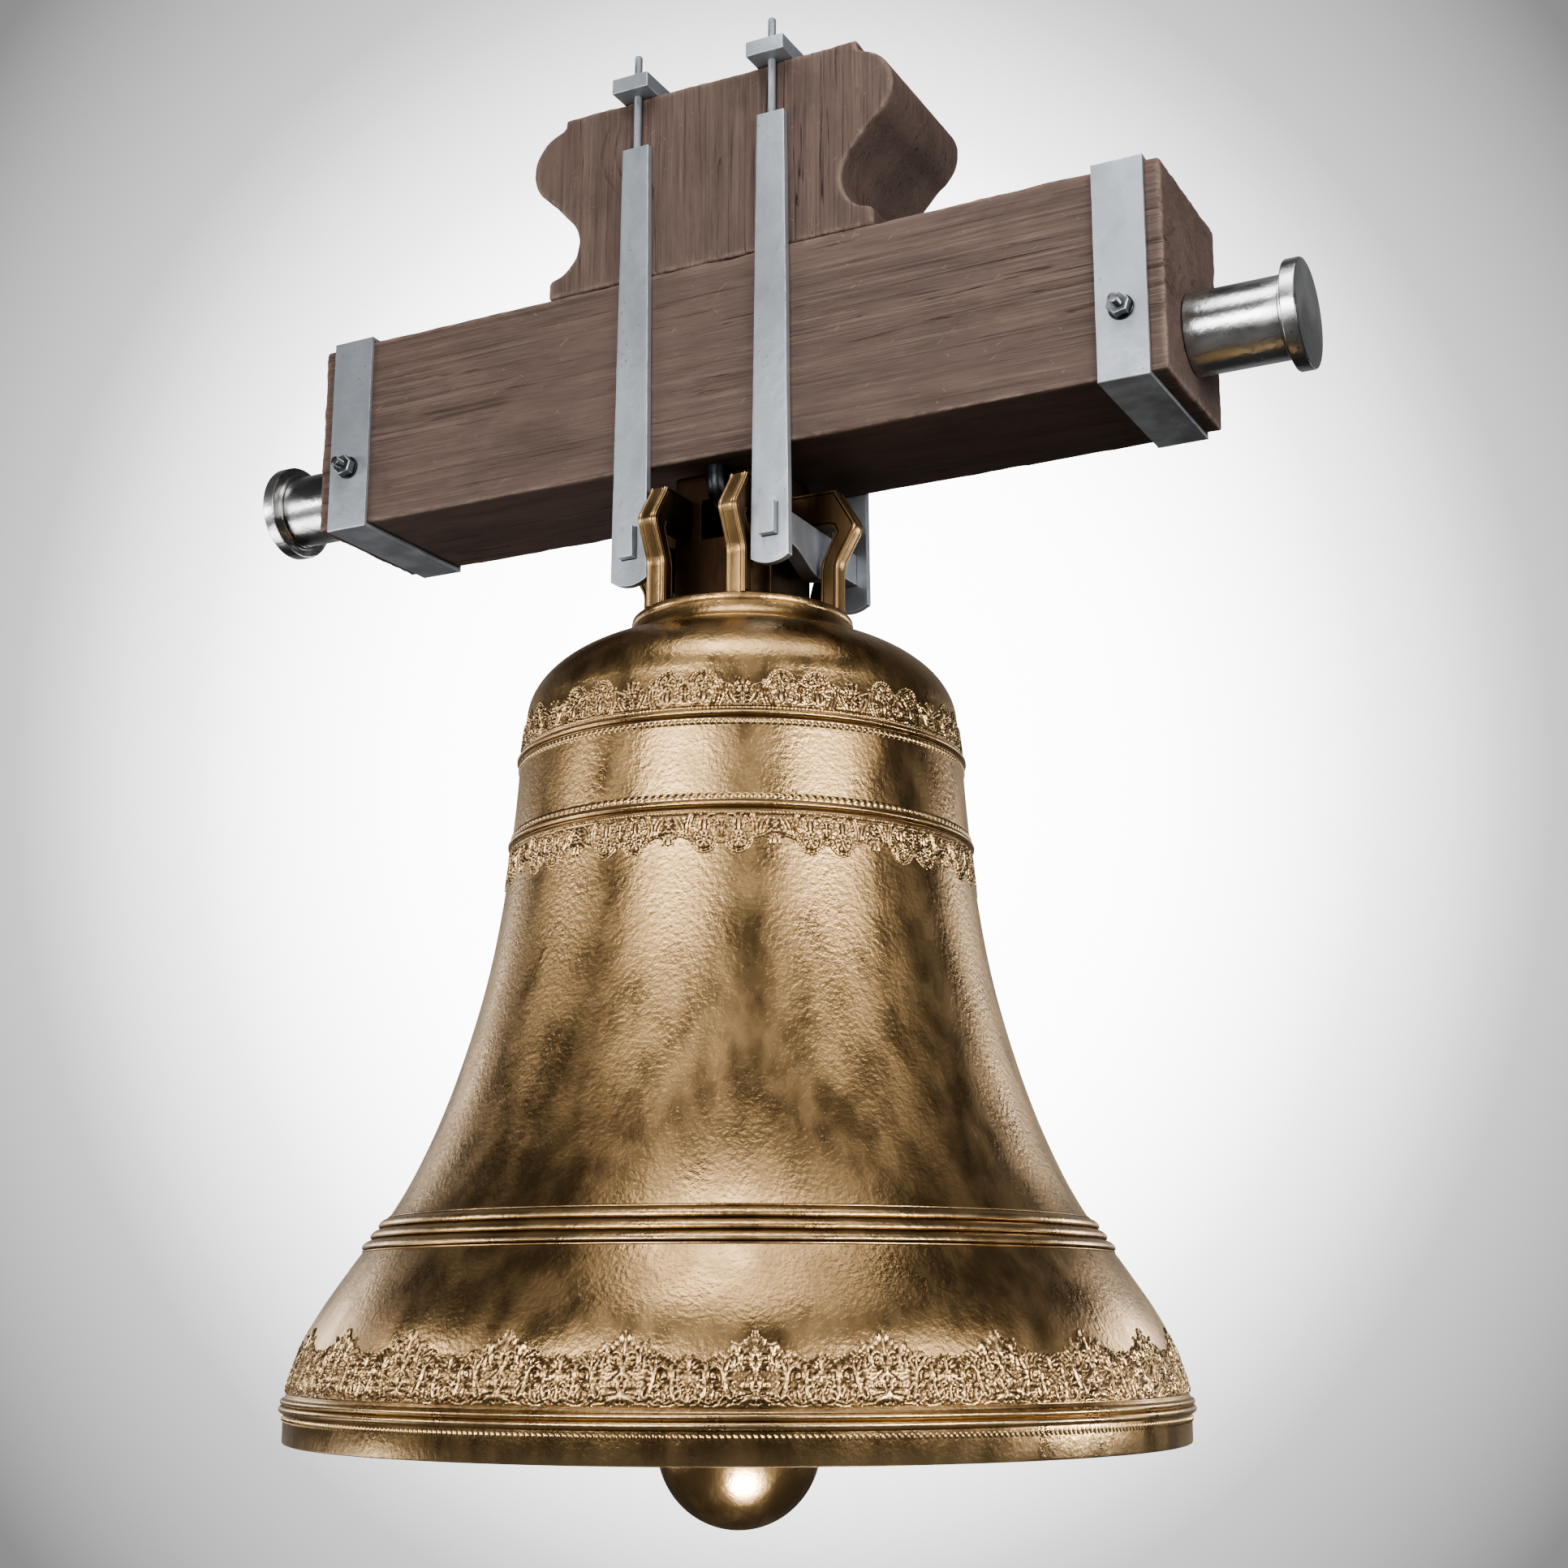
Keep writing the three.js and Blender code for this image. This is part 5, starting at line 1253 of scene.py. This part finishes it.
class BELL_OT_hangers(bpy.types.Operator):
    """Forges the hanger straps, their threaded ends, the cross plates and the canon bars"""
    bl_idname = "bell.hangers"
    bl_label = "Hangers"

    def execute(self, context):
        sizes = context.scene.iron_sizes
        for side, _ in SIDES:
            for face, _ in FACES:
                node = f"hanger_strap_{face}_{side}"
                low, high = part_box(node)
                bm = strap(sizes, node)
                rod = bmesh.new()
                middle = ((low.x + high.x) / 2, math.copysign(abs(low.y + high.y) / 2, low.y), 0.0)
                spun(rod, thread_profile(0.005, BEAM_HIGH.z + 0.168, high.z, sizes), 20, centre=middle)
                join(bm, rod)
                finished(bm, f"strap_{face}_{side}", "zinc", "bell", [node])
            self.plate(sizes, side)
            self.bar(sizes, side)
        return {"FINISHED"}

    def plate(self, sizes, side):
        low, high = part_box(f"cross_plate_{side}")
        bm = bmesh.new()
        add_box(bm, low, high)
        for axis, cuts in ((0, 4), (1, 14), (2, 1)):
            along = [edge for edge in bm.edges
                     if abs(edge.verts[0].co[axis] - edge.verts[1].co[axis]) > 0.012]
            bmesh.ops.subdivide_edges(bm, edges=along, cuts=cuts, use_grid_fill=True)
        uneven(bm, sizes.unevenness * 2)
        soften(bm, sizes.edge * 1.3, 2, 50.0)
        finished(bm, f"plate_{side}", "zinc", "bell", [f"cross_plate_{side}"])

    def bar(self, sizes, side):
        low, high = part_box(f"canon_bar_{side}")
        belly, belly_half, end = 0.022, 0.075, high.y
        bm = bmesh.new()
        steps = 32
        bmesh.ops.create_grid(bm, x_segments=steps, y_segments=3, size=0.5,
                              matrix=Matrix.Rotation(math.pi / 2, 4, "X"))
        for vert in bm.verts:
            along = vert.co.x * 2 * end
            share_up = round((vert.co.z + 0.5) * 3) / 3
            sag = 0.5 * belly * (1 + math.cos(math.pi * min(1.0, abs(along) / belly_half)))
            bottom = high.z - 0.039 - sag
            vert.co = (low.x, along, bottom + (high.z - bottom) * share_up)
        made = bmesh.ops.extrude_face_region(bm, geom=bm.faces[:])["geom"]
        moved = [item for item in made if isinstance(item, bmesh.types.BMVert)]
        bmesh.ops.translate(bm, vec=(high.x - low.x, 0.0, 0.0), verts=moved)
        bmesh.ops.recalc_face_normals(bm, faces=bm.faces[:])
        uneven(bm, sizes.unevenness)
        soften(bm, sizes.edge * 1.2, 2, 50.0)
        finished(bm, f"bar_{side}", "zinc", "bell", [f"canon_bar_{side}"])


# ---------- Ends: bands, bolts, journals and caps ----------

def hexagon_nut(low, high, across, axis_sign):
    """A hexagon nut along Y with chamfered corners on its outer face."""
    bm = bmesh.new()
    tall = abs(high - low)
    bmesh.ops.create_cone(bm, cap_ends=True, cap_tris=False, segments=6, radius1=across / math.sqrt(3),
                          radius2=across / math.sqrt(3), depth=tall,
                          matrix=Matrix.Translation((0, 0, tall / 2)))
    outer = [edge for edge in bm.edges if all(vert.co.z > tall - 1e-5 for vert in edge.verts)]
    soften(bm, tall * 0.13, 2, edges=outer)
    soften(bm, 0.0005, 2, 40.0)
    turn = Matrix.Rotation(math.pi / 2 if axis_sign < 0 else -math.pi / 2, 4, "X")
    bmesh.ops.transform(bm, matrix=Matrix.Translation((0, low if axis_sign > 0 else high, 0)) @ turn,
                        verts=bm.verts[:])
    return bm


def washer_profile(radius, thick):
    edge = 0.0007
    return [(0.0, 0.0), (radius - edge, 0.0), (radius, edge), (radius, thick - edge),
            (radius - edge, thick), (0.0, thick)]


class BELL_OT_ends(bpy.types.Operator):
    """Makes the end bands, their bolts, nuts and washers, the journals and the end caps"""
    bl_idname = "bell.ends"
    bl_label = "Journals and bands"

    def execute(self, context):
        sizes = context.scene.iron_sizes
        for side, sign in SIDES:
            self.band(sizes, side)
            self.fixings(sizes, side)
            self.journal(sizes, side, sign)
        return {"FINISHED"}

    def band(self, sizes, side):
        low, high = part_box(f"end_band_{side}")
        bm = bmesh.new()
        add_box(bm, low, high)
        bmesh.ops.delete(bm, geom=[face for face in bm.faces if abs(face.normal.x) > 0.5], context="FACES")
        for axis, cuts in ((0, 3), (1, 12), (2, 14)):
            along = [edge for edge in bm.edges
                     if abs(edge.verts[0].co[axis] - edge.verts[1].co[axis]) > 0.04]
            bmesh.ops.subdivide_edges(bm, edges=along, cuts=cuts, use_grid_fill=True)
        corners = [edge for edge in bm.edges if len(edge.link_faces) == 2 and edge.calc_face_angle() > 1.0]
        bmesh.ops.bevel(bm, geom=corners, offset=0.0022, segments=3, profile=0.5, affect="EDGES",
                        material=-1)
        bmesh.ops.recalc_face_normals(bm, faces=bm.faces[:])
        outwards = sum(face.normal.dot(face.calc_center_median() - (low + high) / 2) for face in bm.faces)
        if outwards < 0:
            bmesh.ops.reverse_faces(bm, faces=bm.faces[:])
        bmesh.ops.solidify(bm, geom=bm.faces[:], thickness=sizes.band)
        bmesh.ops.recalc_face_normals(bm, faces=bm.faces[:])
        uneven(bm, sizes.unevenness, 0.03)
        soften(bm, sizes.edge, 2, 55.0)
        finished(bm, f"band_{side}", "zinc", "bell", [f"end_band_{side}"])

    def fixings(self, sizes, side):
        for face, sign in FACES:
            low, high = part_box(f"band_washer_{face}_{side}")
            middle_x = (low.x + high.x) / 2
            base = low.y if sign > 0 else high.y
            bm = bmesh.new()
            spun(bm, washer_profile((high.x - low.x) / 2, high.y - low.y), 40, "y")
            if sign < 0:
                bmesh.ops.rotate(bm, cent=(0, 0, 0), matrix=Matrix.Rotation(math.pi, 3, "Z"), verts=bm.verts[:])
            bmesh.ops.translate(bm, vec=(middle_x, base, 0.0), verts=bm.verts[:])
            finished(bm, f"washer_{face}_{side}", "iron", "bell", [f"band_washer_{face}_{side}"])
        nut_low, nut_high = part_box(f"band_nut_{side}")
        bm = hexagon_nut(nut_low.y, nut_high.y, 0.024, -1)
        bmesh.ops.rotate(bm, cent=(0, 0, 0), matrix=Matrix.Rotation(math.radians(17), 3, "Y"), verts=bm.verts[:])
        bmesh.ops.translate(bm, vec=(middle_x, 0.0, 0.0), verts=bm.verts[:])
        finished(bm, f"nut_{side}", "bolt", "bell", [f"band_nut_{side}"])
        bolt_low, bolt_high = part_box(f"band_bolt_{side}")
        head = bolt_high.y - 0.009
        bm = hexagon_nut(head, bolt_high.y, 0.024, 1)
        stud = bmesh.new()
        spun(stud, thread_profile(0.006, 0.0, abs(bolt_low.y) - 0.09, sizes), 24, "y")
        bmesh.ops.rotate(stud, cent=(0, 0, 0), matrix=Matrix.Rotation(math.pi, 3, "Z"), verts=stud.verts[:])
        bmesh.ops.translate(stud, vec=(0.0, -0.09, 0.0), verts=stud.verts[:])
        join(bm, stud)
        bmesh.ops.translate(bm, vec=(middle_x, 0.0, 0.0), verts=bm.verts[:])
        finished(bm, f"bolt_{side}", "bolt", "bell", [f"band_bolt_{side}"])

    def journal(self, sizes, side, sign):
        low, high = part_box(f"journal_sleeve_{side}")
        radius, span_x = high.z, high.x - low.x
        start = low.x if sign > 0 else high.x
        edge = 0.0016
        bm = bmesh.new()
        profile = [(0.0303, 0.0), (radius - edge, 0.0), (radius - 0.0004, 0.0006), (radius, edge),
                   (radius, span_x * 0.33), (radius, span_x * 0.66), (radius, span_x - edge),
                   (radius - 0.0004, span_x - 0.0006), (radius - edge, span_x), (0.0303, span_x)]
        spun(bm, profile + profile[:1], sizes.steps, "x")
        self.place(bm, start, sign)
        finished(bm, f"sleeve_{side}", "steel", "root", [f"journal_sleeve_{side}"])
        low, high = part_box(f"gudgeon_cap_{side}")
        start = low.x if sign > 0 else high.x
        radius, thick, step, step_radius = high.z, high.x - low.x, 0.0045, 0.0515
        profile = [(0.0, 0.0), (step_radius - 0.0008, 0.0), (step_radius, 0.0008), (step_radius, step - 0.0004)]
        profile += [(step_radius + 0.0006, step), (radius - 0.0022, step), (radius - 0.0007, step + 0.0007)]
        profile += [(radius, step + 0.0022), (radius, thick - 0.0022), (radius - 0.0007, thick - 0.0007)]
        profile += [(radius - 0.0022, thick), (radius * 0.5, thick), (0.0, thick)]
        bm = bmesh.new()
        spun(bm, profile, sizes.steps, "x")
        self.place(bm, start, sign)
        finished(bm, f"cap_{side}", "steel", "bell", [f"gudgeon_cap_{side}"])

    def place(self, bm, start, sign):
        if sign < 0:
            bmesh.ops.rotate(bm, cent=(0, 0, 0), matrix=Matrix.Rotation(math.pi, 3, "Z"), verts=bm.verts[:])
        bmesh.ops.translate(bm, vec=(start, 0.0, 0.0), verts=bm.verts[:])


# ---------- U-bolt, staple and clapper ----------

class BELL_OT_clapper(bpy.types.Operator):
    """Turns the clapper with its ball, shaft and eye, and bends the U-bolt"""
    bl_idname = "bell.clapper"
    bl_label = "Clapper and U-bolt"

    def execute(self, context):
        low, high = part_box("clapper")
        radius = high.y
        ball_z = low.z + radius
        pivot_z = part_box("clapper_bush")[0].z + (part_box("clapper_bush")[1].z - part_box("clapper_bush")[0].z) / 2
        eye = high.z - pivot_z
        bm = bmesh.new()
        profile = [(radius * math.cos(turn), ball_z + radius * math.sin(turn))
                   for turn in (math.radians(-90 + 156 * i / 44) for i in range(45))]
        profile[0] = (0.0, low.z)
        neck = ball_z + 0.9 * radius
        profile += [(0.030, neck + 0.008), (0.0265, neck + 0.022), (0.025, neck + 0.040)]
        profile += [(0.017, pivot_z - eye - 0.070), (0.018, pivot_z - eye - 0.016), (0.022, pivot_z - eye + 0.004)]
        profile += [(0.022, pivot_z - eye * 0.75), (0.0, pivot_z - eye * 0.75)]
        spun(bm, profile, 72)
        other = bmesh.new()
        hole, half = eye - 0.016, high.x
        section = [(hole, -half), (eye - 0.003, -half), (eye - 0.0008, -half + 0.0012), (eye, -half + 0.004),
                   (eye, half - 0.004), (eye - 0.0008, half - 0.0012), (eye - 0.003, half), (hole, half)]
        spun(other, section + section[:1], 64, "x", (0.0, 0.0, pivot_z))
        join(bm, other)
        relief = bm.verts.layers.float.new("relief")
        for vert in bm.verts:
            vert[relief] = 0.3
        finished(bm, "clapper_forging", "clapper", "clapper", ["clapper"], sharp=40.0)
        self.u_bolt()
        return {"FINISHED"}

    def u_bolt(self):
        low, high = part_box("crown_u_bolt")
        radius, bend = 0.013, 0.034
        reach = high.y - radius
        bm = bmesh.new()
        bmesh.ops.create_circle(bm, cap_ends=True, segments=28, radius=radius,
                                matrix=Matrix.Translation((0.0, reach, high.z)))
        tip = bm.faces[:]
        floor = low.z + radius
        turns = ((0.0, 0.0, floor + bend - high.z), (0.0, reach - bend, floor + bend),
                 (0.0, 2 * (bend - reach), 0.0), (0.0, bend - reach, floor + bend),
                 (0.0, 0.0, high.z - floor - bend))
        for i, move in enumerate(turns):
            if i % 2:
                made = bmesh.ops.spin(bm, geom=tip, cent=move, axis=(1, 0, 0), dvec=(0, 0, 0),
                                      angle=-math.pi / 2, steps=10, use_merge=False,
                                      use_normal_flip=False, use_duplicate=False)
                tip = [item for item in made["geom_last"] if isinstance(item, bmesh.types.BMFace)]
            else:
                made = bmesh.ops.extrude_face_region(bm, geom=tip)["geom"]
                bmesh.ops.delete(bm, geom=tip if i else [], context="FACES_ONLY")
                tip = [item for item in made if isinstance(item, bmesh.types.BMFace)]
                moved = [item for item in made if isinstance(item, bmesh.types.BMVert)]
                bmesh.ops.translate(bm, vec=move, verts=moved)
        bmesh.ops.recalc_face_normals(bm, faces=bm.faces[:])
        finished(bm, "u_bolt", "iron", "bell", ["crown_u_bolt"], sharp=50.0)


class BELL_OT_inner_fittings(bpy.types.Operator):
    """Gives the fittings that stay as they are their finishes"""
    bl_idname = "bell.inner_fittings"
    bl_label = "Inner fittings"

    looks = {
        "crown_staple": "iron", "clapper_pin": "steel", "clapper_pin_nut": "iron", "clapper_bush": "clapper",
        "u_bolt_plate": "iron", "u_bolt_nut_front": "iron", "u_bolt_nut_back": "iron",
        "gudgeon_left": "steel", "gudgeon_right": "steel", "block_dowel_left": "block",
        "block_dowel_right": "block",
    }

    def execute(self, context):
        for node, look in self.looks.items():
            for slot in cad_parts[node].material_slots:
                slot.material = LOOKS[look]
        return {"FINISHED"}


# ---------- Stage ----------

BACKDROP_PEAK = 4.2  # brightness of the middle of the backdrop


class BELL_OT_stage(bpy.types.Operator):
    """Lays the floor and sets the lights, the backdrop and the camera"""
    bl_idname = "bell.stage"
    bl_label = "Stage"

    yaw, pitch = math.radians(-27.17), math.radians(13.24)
    camera_place = (1.240, -2.306, -1.073)

    def execute(self, context):
        sizes = context.scene.stage_sizes
        self.camera(context, sizes)
        self.floor(context, sizes)
        self.backdrop(context)
        for name, azimuth, elevation, distance, wide, tall, power, spread, level in (
            ("left softbox", -29, 14, 3.0, 1.8, 1.15, 27, 130, -0.75),
            ("left low softbox", -82, 12, 3.2, 1.1, 0.55, 11, 130, -0.75),
            ("right softbox", 39, 12, 3.0, 1.9, 0.95, 34, 130, -0.75),
            ("right low softbox", 84, -3, 3.0, 0.70, 0.25, 1.9, 40, -1.05),
            ("top softbox", -14, 64, 2.5, 1.4, 0.9, 9.5, 130, -0.75),
            ("top right softbox", 46, 62, 2.5, 0.9, 0.7, 2.4, 130, -0.75),
            ("underside softbox", 10, -67, 0.92, 0.20, 0.20, 4.4, 130, -0.75),
            ("floor fill", -80, -34, 3.0, 1.6, 1.2, 8, 130, -0.75),
            ("beam fill", -95, -40, 2.0, 1.0, 1.0, 2.2, 70, 0.05),
            ("left horizon fill", -62, -4, 3.0, 2.6, 0.5, 1.2, 130, -0.75),
            ("back left softbox", -128, 8, 3.4, 1.2, 1.0, 5, 130, -0.75),
            ("back right softbox", 122, 10, 3.4, 1.2, 0.8, 8, 130, -0.75),
        ):
            self.softbox(context, name, self.direction(azimuth, elevation) * distance, (wide, tall), power,
                         math.radians(spread), Vector((0.0, 0.0, level)))
        return {"FINISHED"}

    def direction(self, azimuth, elevation):
        """Direction at an angle round from the camera, seen from the bell; positive is to the right."""
        turn = self.yaw + math.pi - math.radians(azimuth)
        rise = math.radians(elevation)
        return Vector((math.sin(turn) * math.cos(rise), math.cos(turn) * math.cos(rise), math.sin(rise)))

    def camera(self, context, sizes):
        data = bpy.data.cameras.new("camera")
        data.lens, data.sensor_width = sizes.lens, 36.0
        camera = bpy.data.objects.new("camera", data)
        context.scene.collection.objects.link(camera)
        camera.location = self.camera_place
        level = math.cos(self.pitch)
        forward = Vector((math.sin(self.yaw) * level, math.cos(self.yaw) * level, math.sin(self.pitch)))
        camera.rotation_euler = forward.to_track_quat("-Z", "Y").to_euler()
        context.scene.camera = camera

    def floor(self, context, sizes):
        bm = bmesh.new()
        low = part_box("clapper")[0].z - sizes.floor_drop
        bmesh.ops.create_circle(bm, cap_ends=True, segments=128, radius=sizes.floor_radius,
                                matrix=Matrix.Translation((0.0, 0.0, low)))
        mesh = bpy.data.meshes.new("floor")
        bm.to_mesh(mesh)
        bm.free()
        floor = bpy.data.objects.new("floor", mesh)
        context.scene.collection.objects.link(floor)
        made, n, shader = material("floor paper")
        ray = n.add("ShaderNodeLightPath").outputs["Is Camera Ray"]
        n.feed(shader["Base Color"], n.mix(ray, (0.14, 0.14, 0.14), tuple(context.scene.finishes.floor)))
        n.feed(shader["Roughness"], n.span(n.noise(n.stretched((1, 1, 1)), 6.0), 0.3, 0.7, 0.6, 0.7))
        mesh.materials.append(made)

    def backdrop(self, context):
        world = bpy.data.worlds.new("studio")
        context.scene.world = world
        world.use_nodes = True
        context.scene.view_settings.view_transform = "AgX"
        context.scene.view_settings.look = "AgX - High Contrast"
        n = Nodes(world.node_tree)
        shader = world.node_tree.nodes["Background"].inputs
        level = math.cos(self.pitch)
        forward = Vector((math.sin(self.yaw) * level, math.cos(self.yaw) * level, math.sin(self.pitch)))
        right = forward.cross(Vector((0.0, 0.0, 1.0))).normalized()
        place = n.add("ShaderNodeTexCoord").outputs["Generated"]

        def along(axis):
            node = n.add("ShaderNodeVectorMath", operation="DOT_PRODUCT")
            n.feed(node.inputs[0], place)
            n.feed(node.inputs[1], axis)
            return node.outputs["Value"]

        ahead, across, above = along(forward), along(right), along(right.cross(forward))
        spread = 0.0
        for offset, fall in ((across, 3.70), (above, 2.84)):
            slope = n.math("DIVIDE", offset, ahead)
            spread = n.math("ADD", spread, n.math("MULTIPLY", n.math("MULTIPLY", slope, slope), fall))
        ramp = n.add("ShaderNodeValToRGB")
        n.feed(ramp.inputs[0], spread)
        stops = ((0.0, 4.2), (0.10, 3.6), (0.26, 1.62), (0.33, 1.15), (0.376, 0.88), (0.43, 0.67), (0.76, 0.258),
                 (1.0, 0.22))
        for _ in stops[2:]:
            ramp.color_ramp.elements.new(0.5)
        for element, (at, grey) in zip(ramp.color_ramp.elements, stops):
            element.position = at
            element.color = (grey / BACKDROP_PEAK, grey / BACKDROP_PEAK, grey / BACKDROP_PEAK, 1.0)
        pale = tuple(0.62 / BACKDROP_PEAK for _ in range(3))
        seen = n.mix(n.span(spread, 1.1, 5.0), ramp.outputs[0], pale)
        behind = n.span(ahead, 0.50, 0.95)
        up = along((0.0, 0.0, 1.0))
        dim = n.mix(n.span(up, -0.4, 0.3), (0.006, 0.006, 0.006), (0.017, 0.017, 0.018))
        felt = n.mix(behind, dim, (0.070, 0.070, 0.070))
        ray = n.add("ShaderNodeLightPath").outputs["Is Camera Ray"]
        n.feed(shader["Color"], n.mix(ray, felt, seen))
        n.feed(shader["Strength"], BACKDROP_PEAK)

    def softbox(self, context, name, away, size, power, spread, aim):
        data = bpy.data.lights.new(name, "AREA")
        data.shape = "RECTANGLE"
        data.size, data.size_y = size
        data.energy = power
        data.spread = spread
        lamp = bpy.data.objects.new(name, data)
        context.scene.collection.objects.link(lamp)
        lamp.location = aim + away
        lamp.rotation_euler = (aim - lamp.location).to_track_quat("-Z", "Y").to_euler()
        lamp.visible_camera = False


# ---------- Panel and run ----------

STEPS = (BELL_OT_casting, BELL_OT_friezes, BELL_OT_crown, BELL_OT_timber, BELL_OT_hangers, BELL_OT_ends,
         BELL_OT_clapper, BELL_OT_inner_fittings, BELL_OT_stage)


class BELL_PT_panel(bpy.types.Panel):
    """Lists the bell's pieces and the sizes that shape them"""
    bl_idname = "BELL_PT_panel"
    bl_label = "Church bell"
    bl_space_type = "VIEW_3D"
    bl_region_type = "UI"
    bl_category = "Bell"

    def draw(self, context):
        for name, group in GROUPS:
            box = self.layout.box()
            for prop in group.__annotations__:
                box.prop(getattr(context.scene, name), prop)
        for step in STEPS:
            self.layout.operator(step.bl_idname)


CLASSES = (*(group for _, group in GROUPS), *STEPS, BELL_PT_panel)


def register():
    for cls in CLASSES:
        bpy.utils.register_class(cls)
    for name, group in GROUPS:
        setattr(bpy.types.Scene, name, PointerProperty(type=group))


def unregister():
    for name, _ in GROUPS:
        delattr(bpy.types.Scene, name)
    for cls in reversed(CLASSES):
        bpy.utils.unregister_class(cls)


def main():
    register()
    make_looks(bpy.context.scene.finishes)
    for step in STEPS:
        group, name = step.bl_idname.split(".")
        getattr(getattr(bpy.ops, group), name)()


if __name__ == "__main__":
    main()
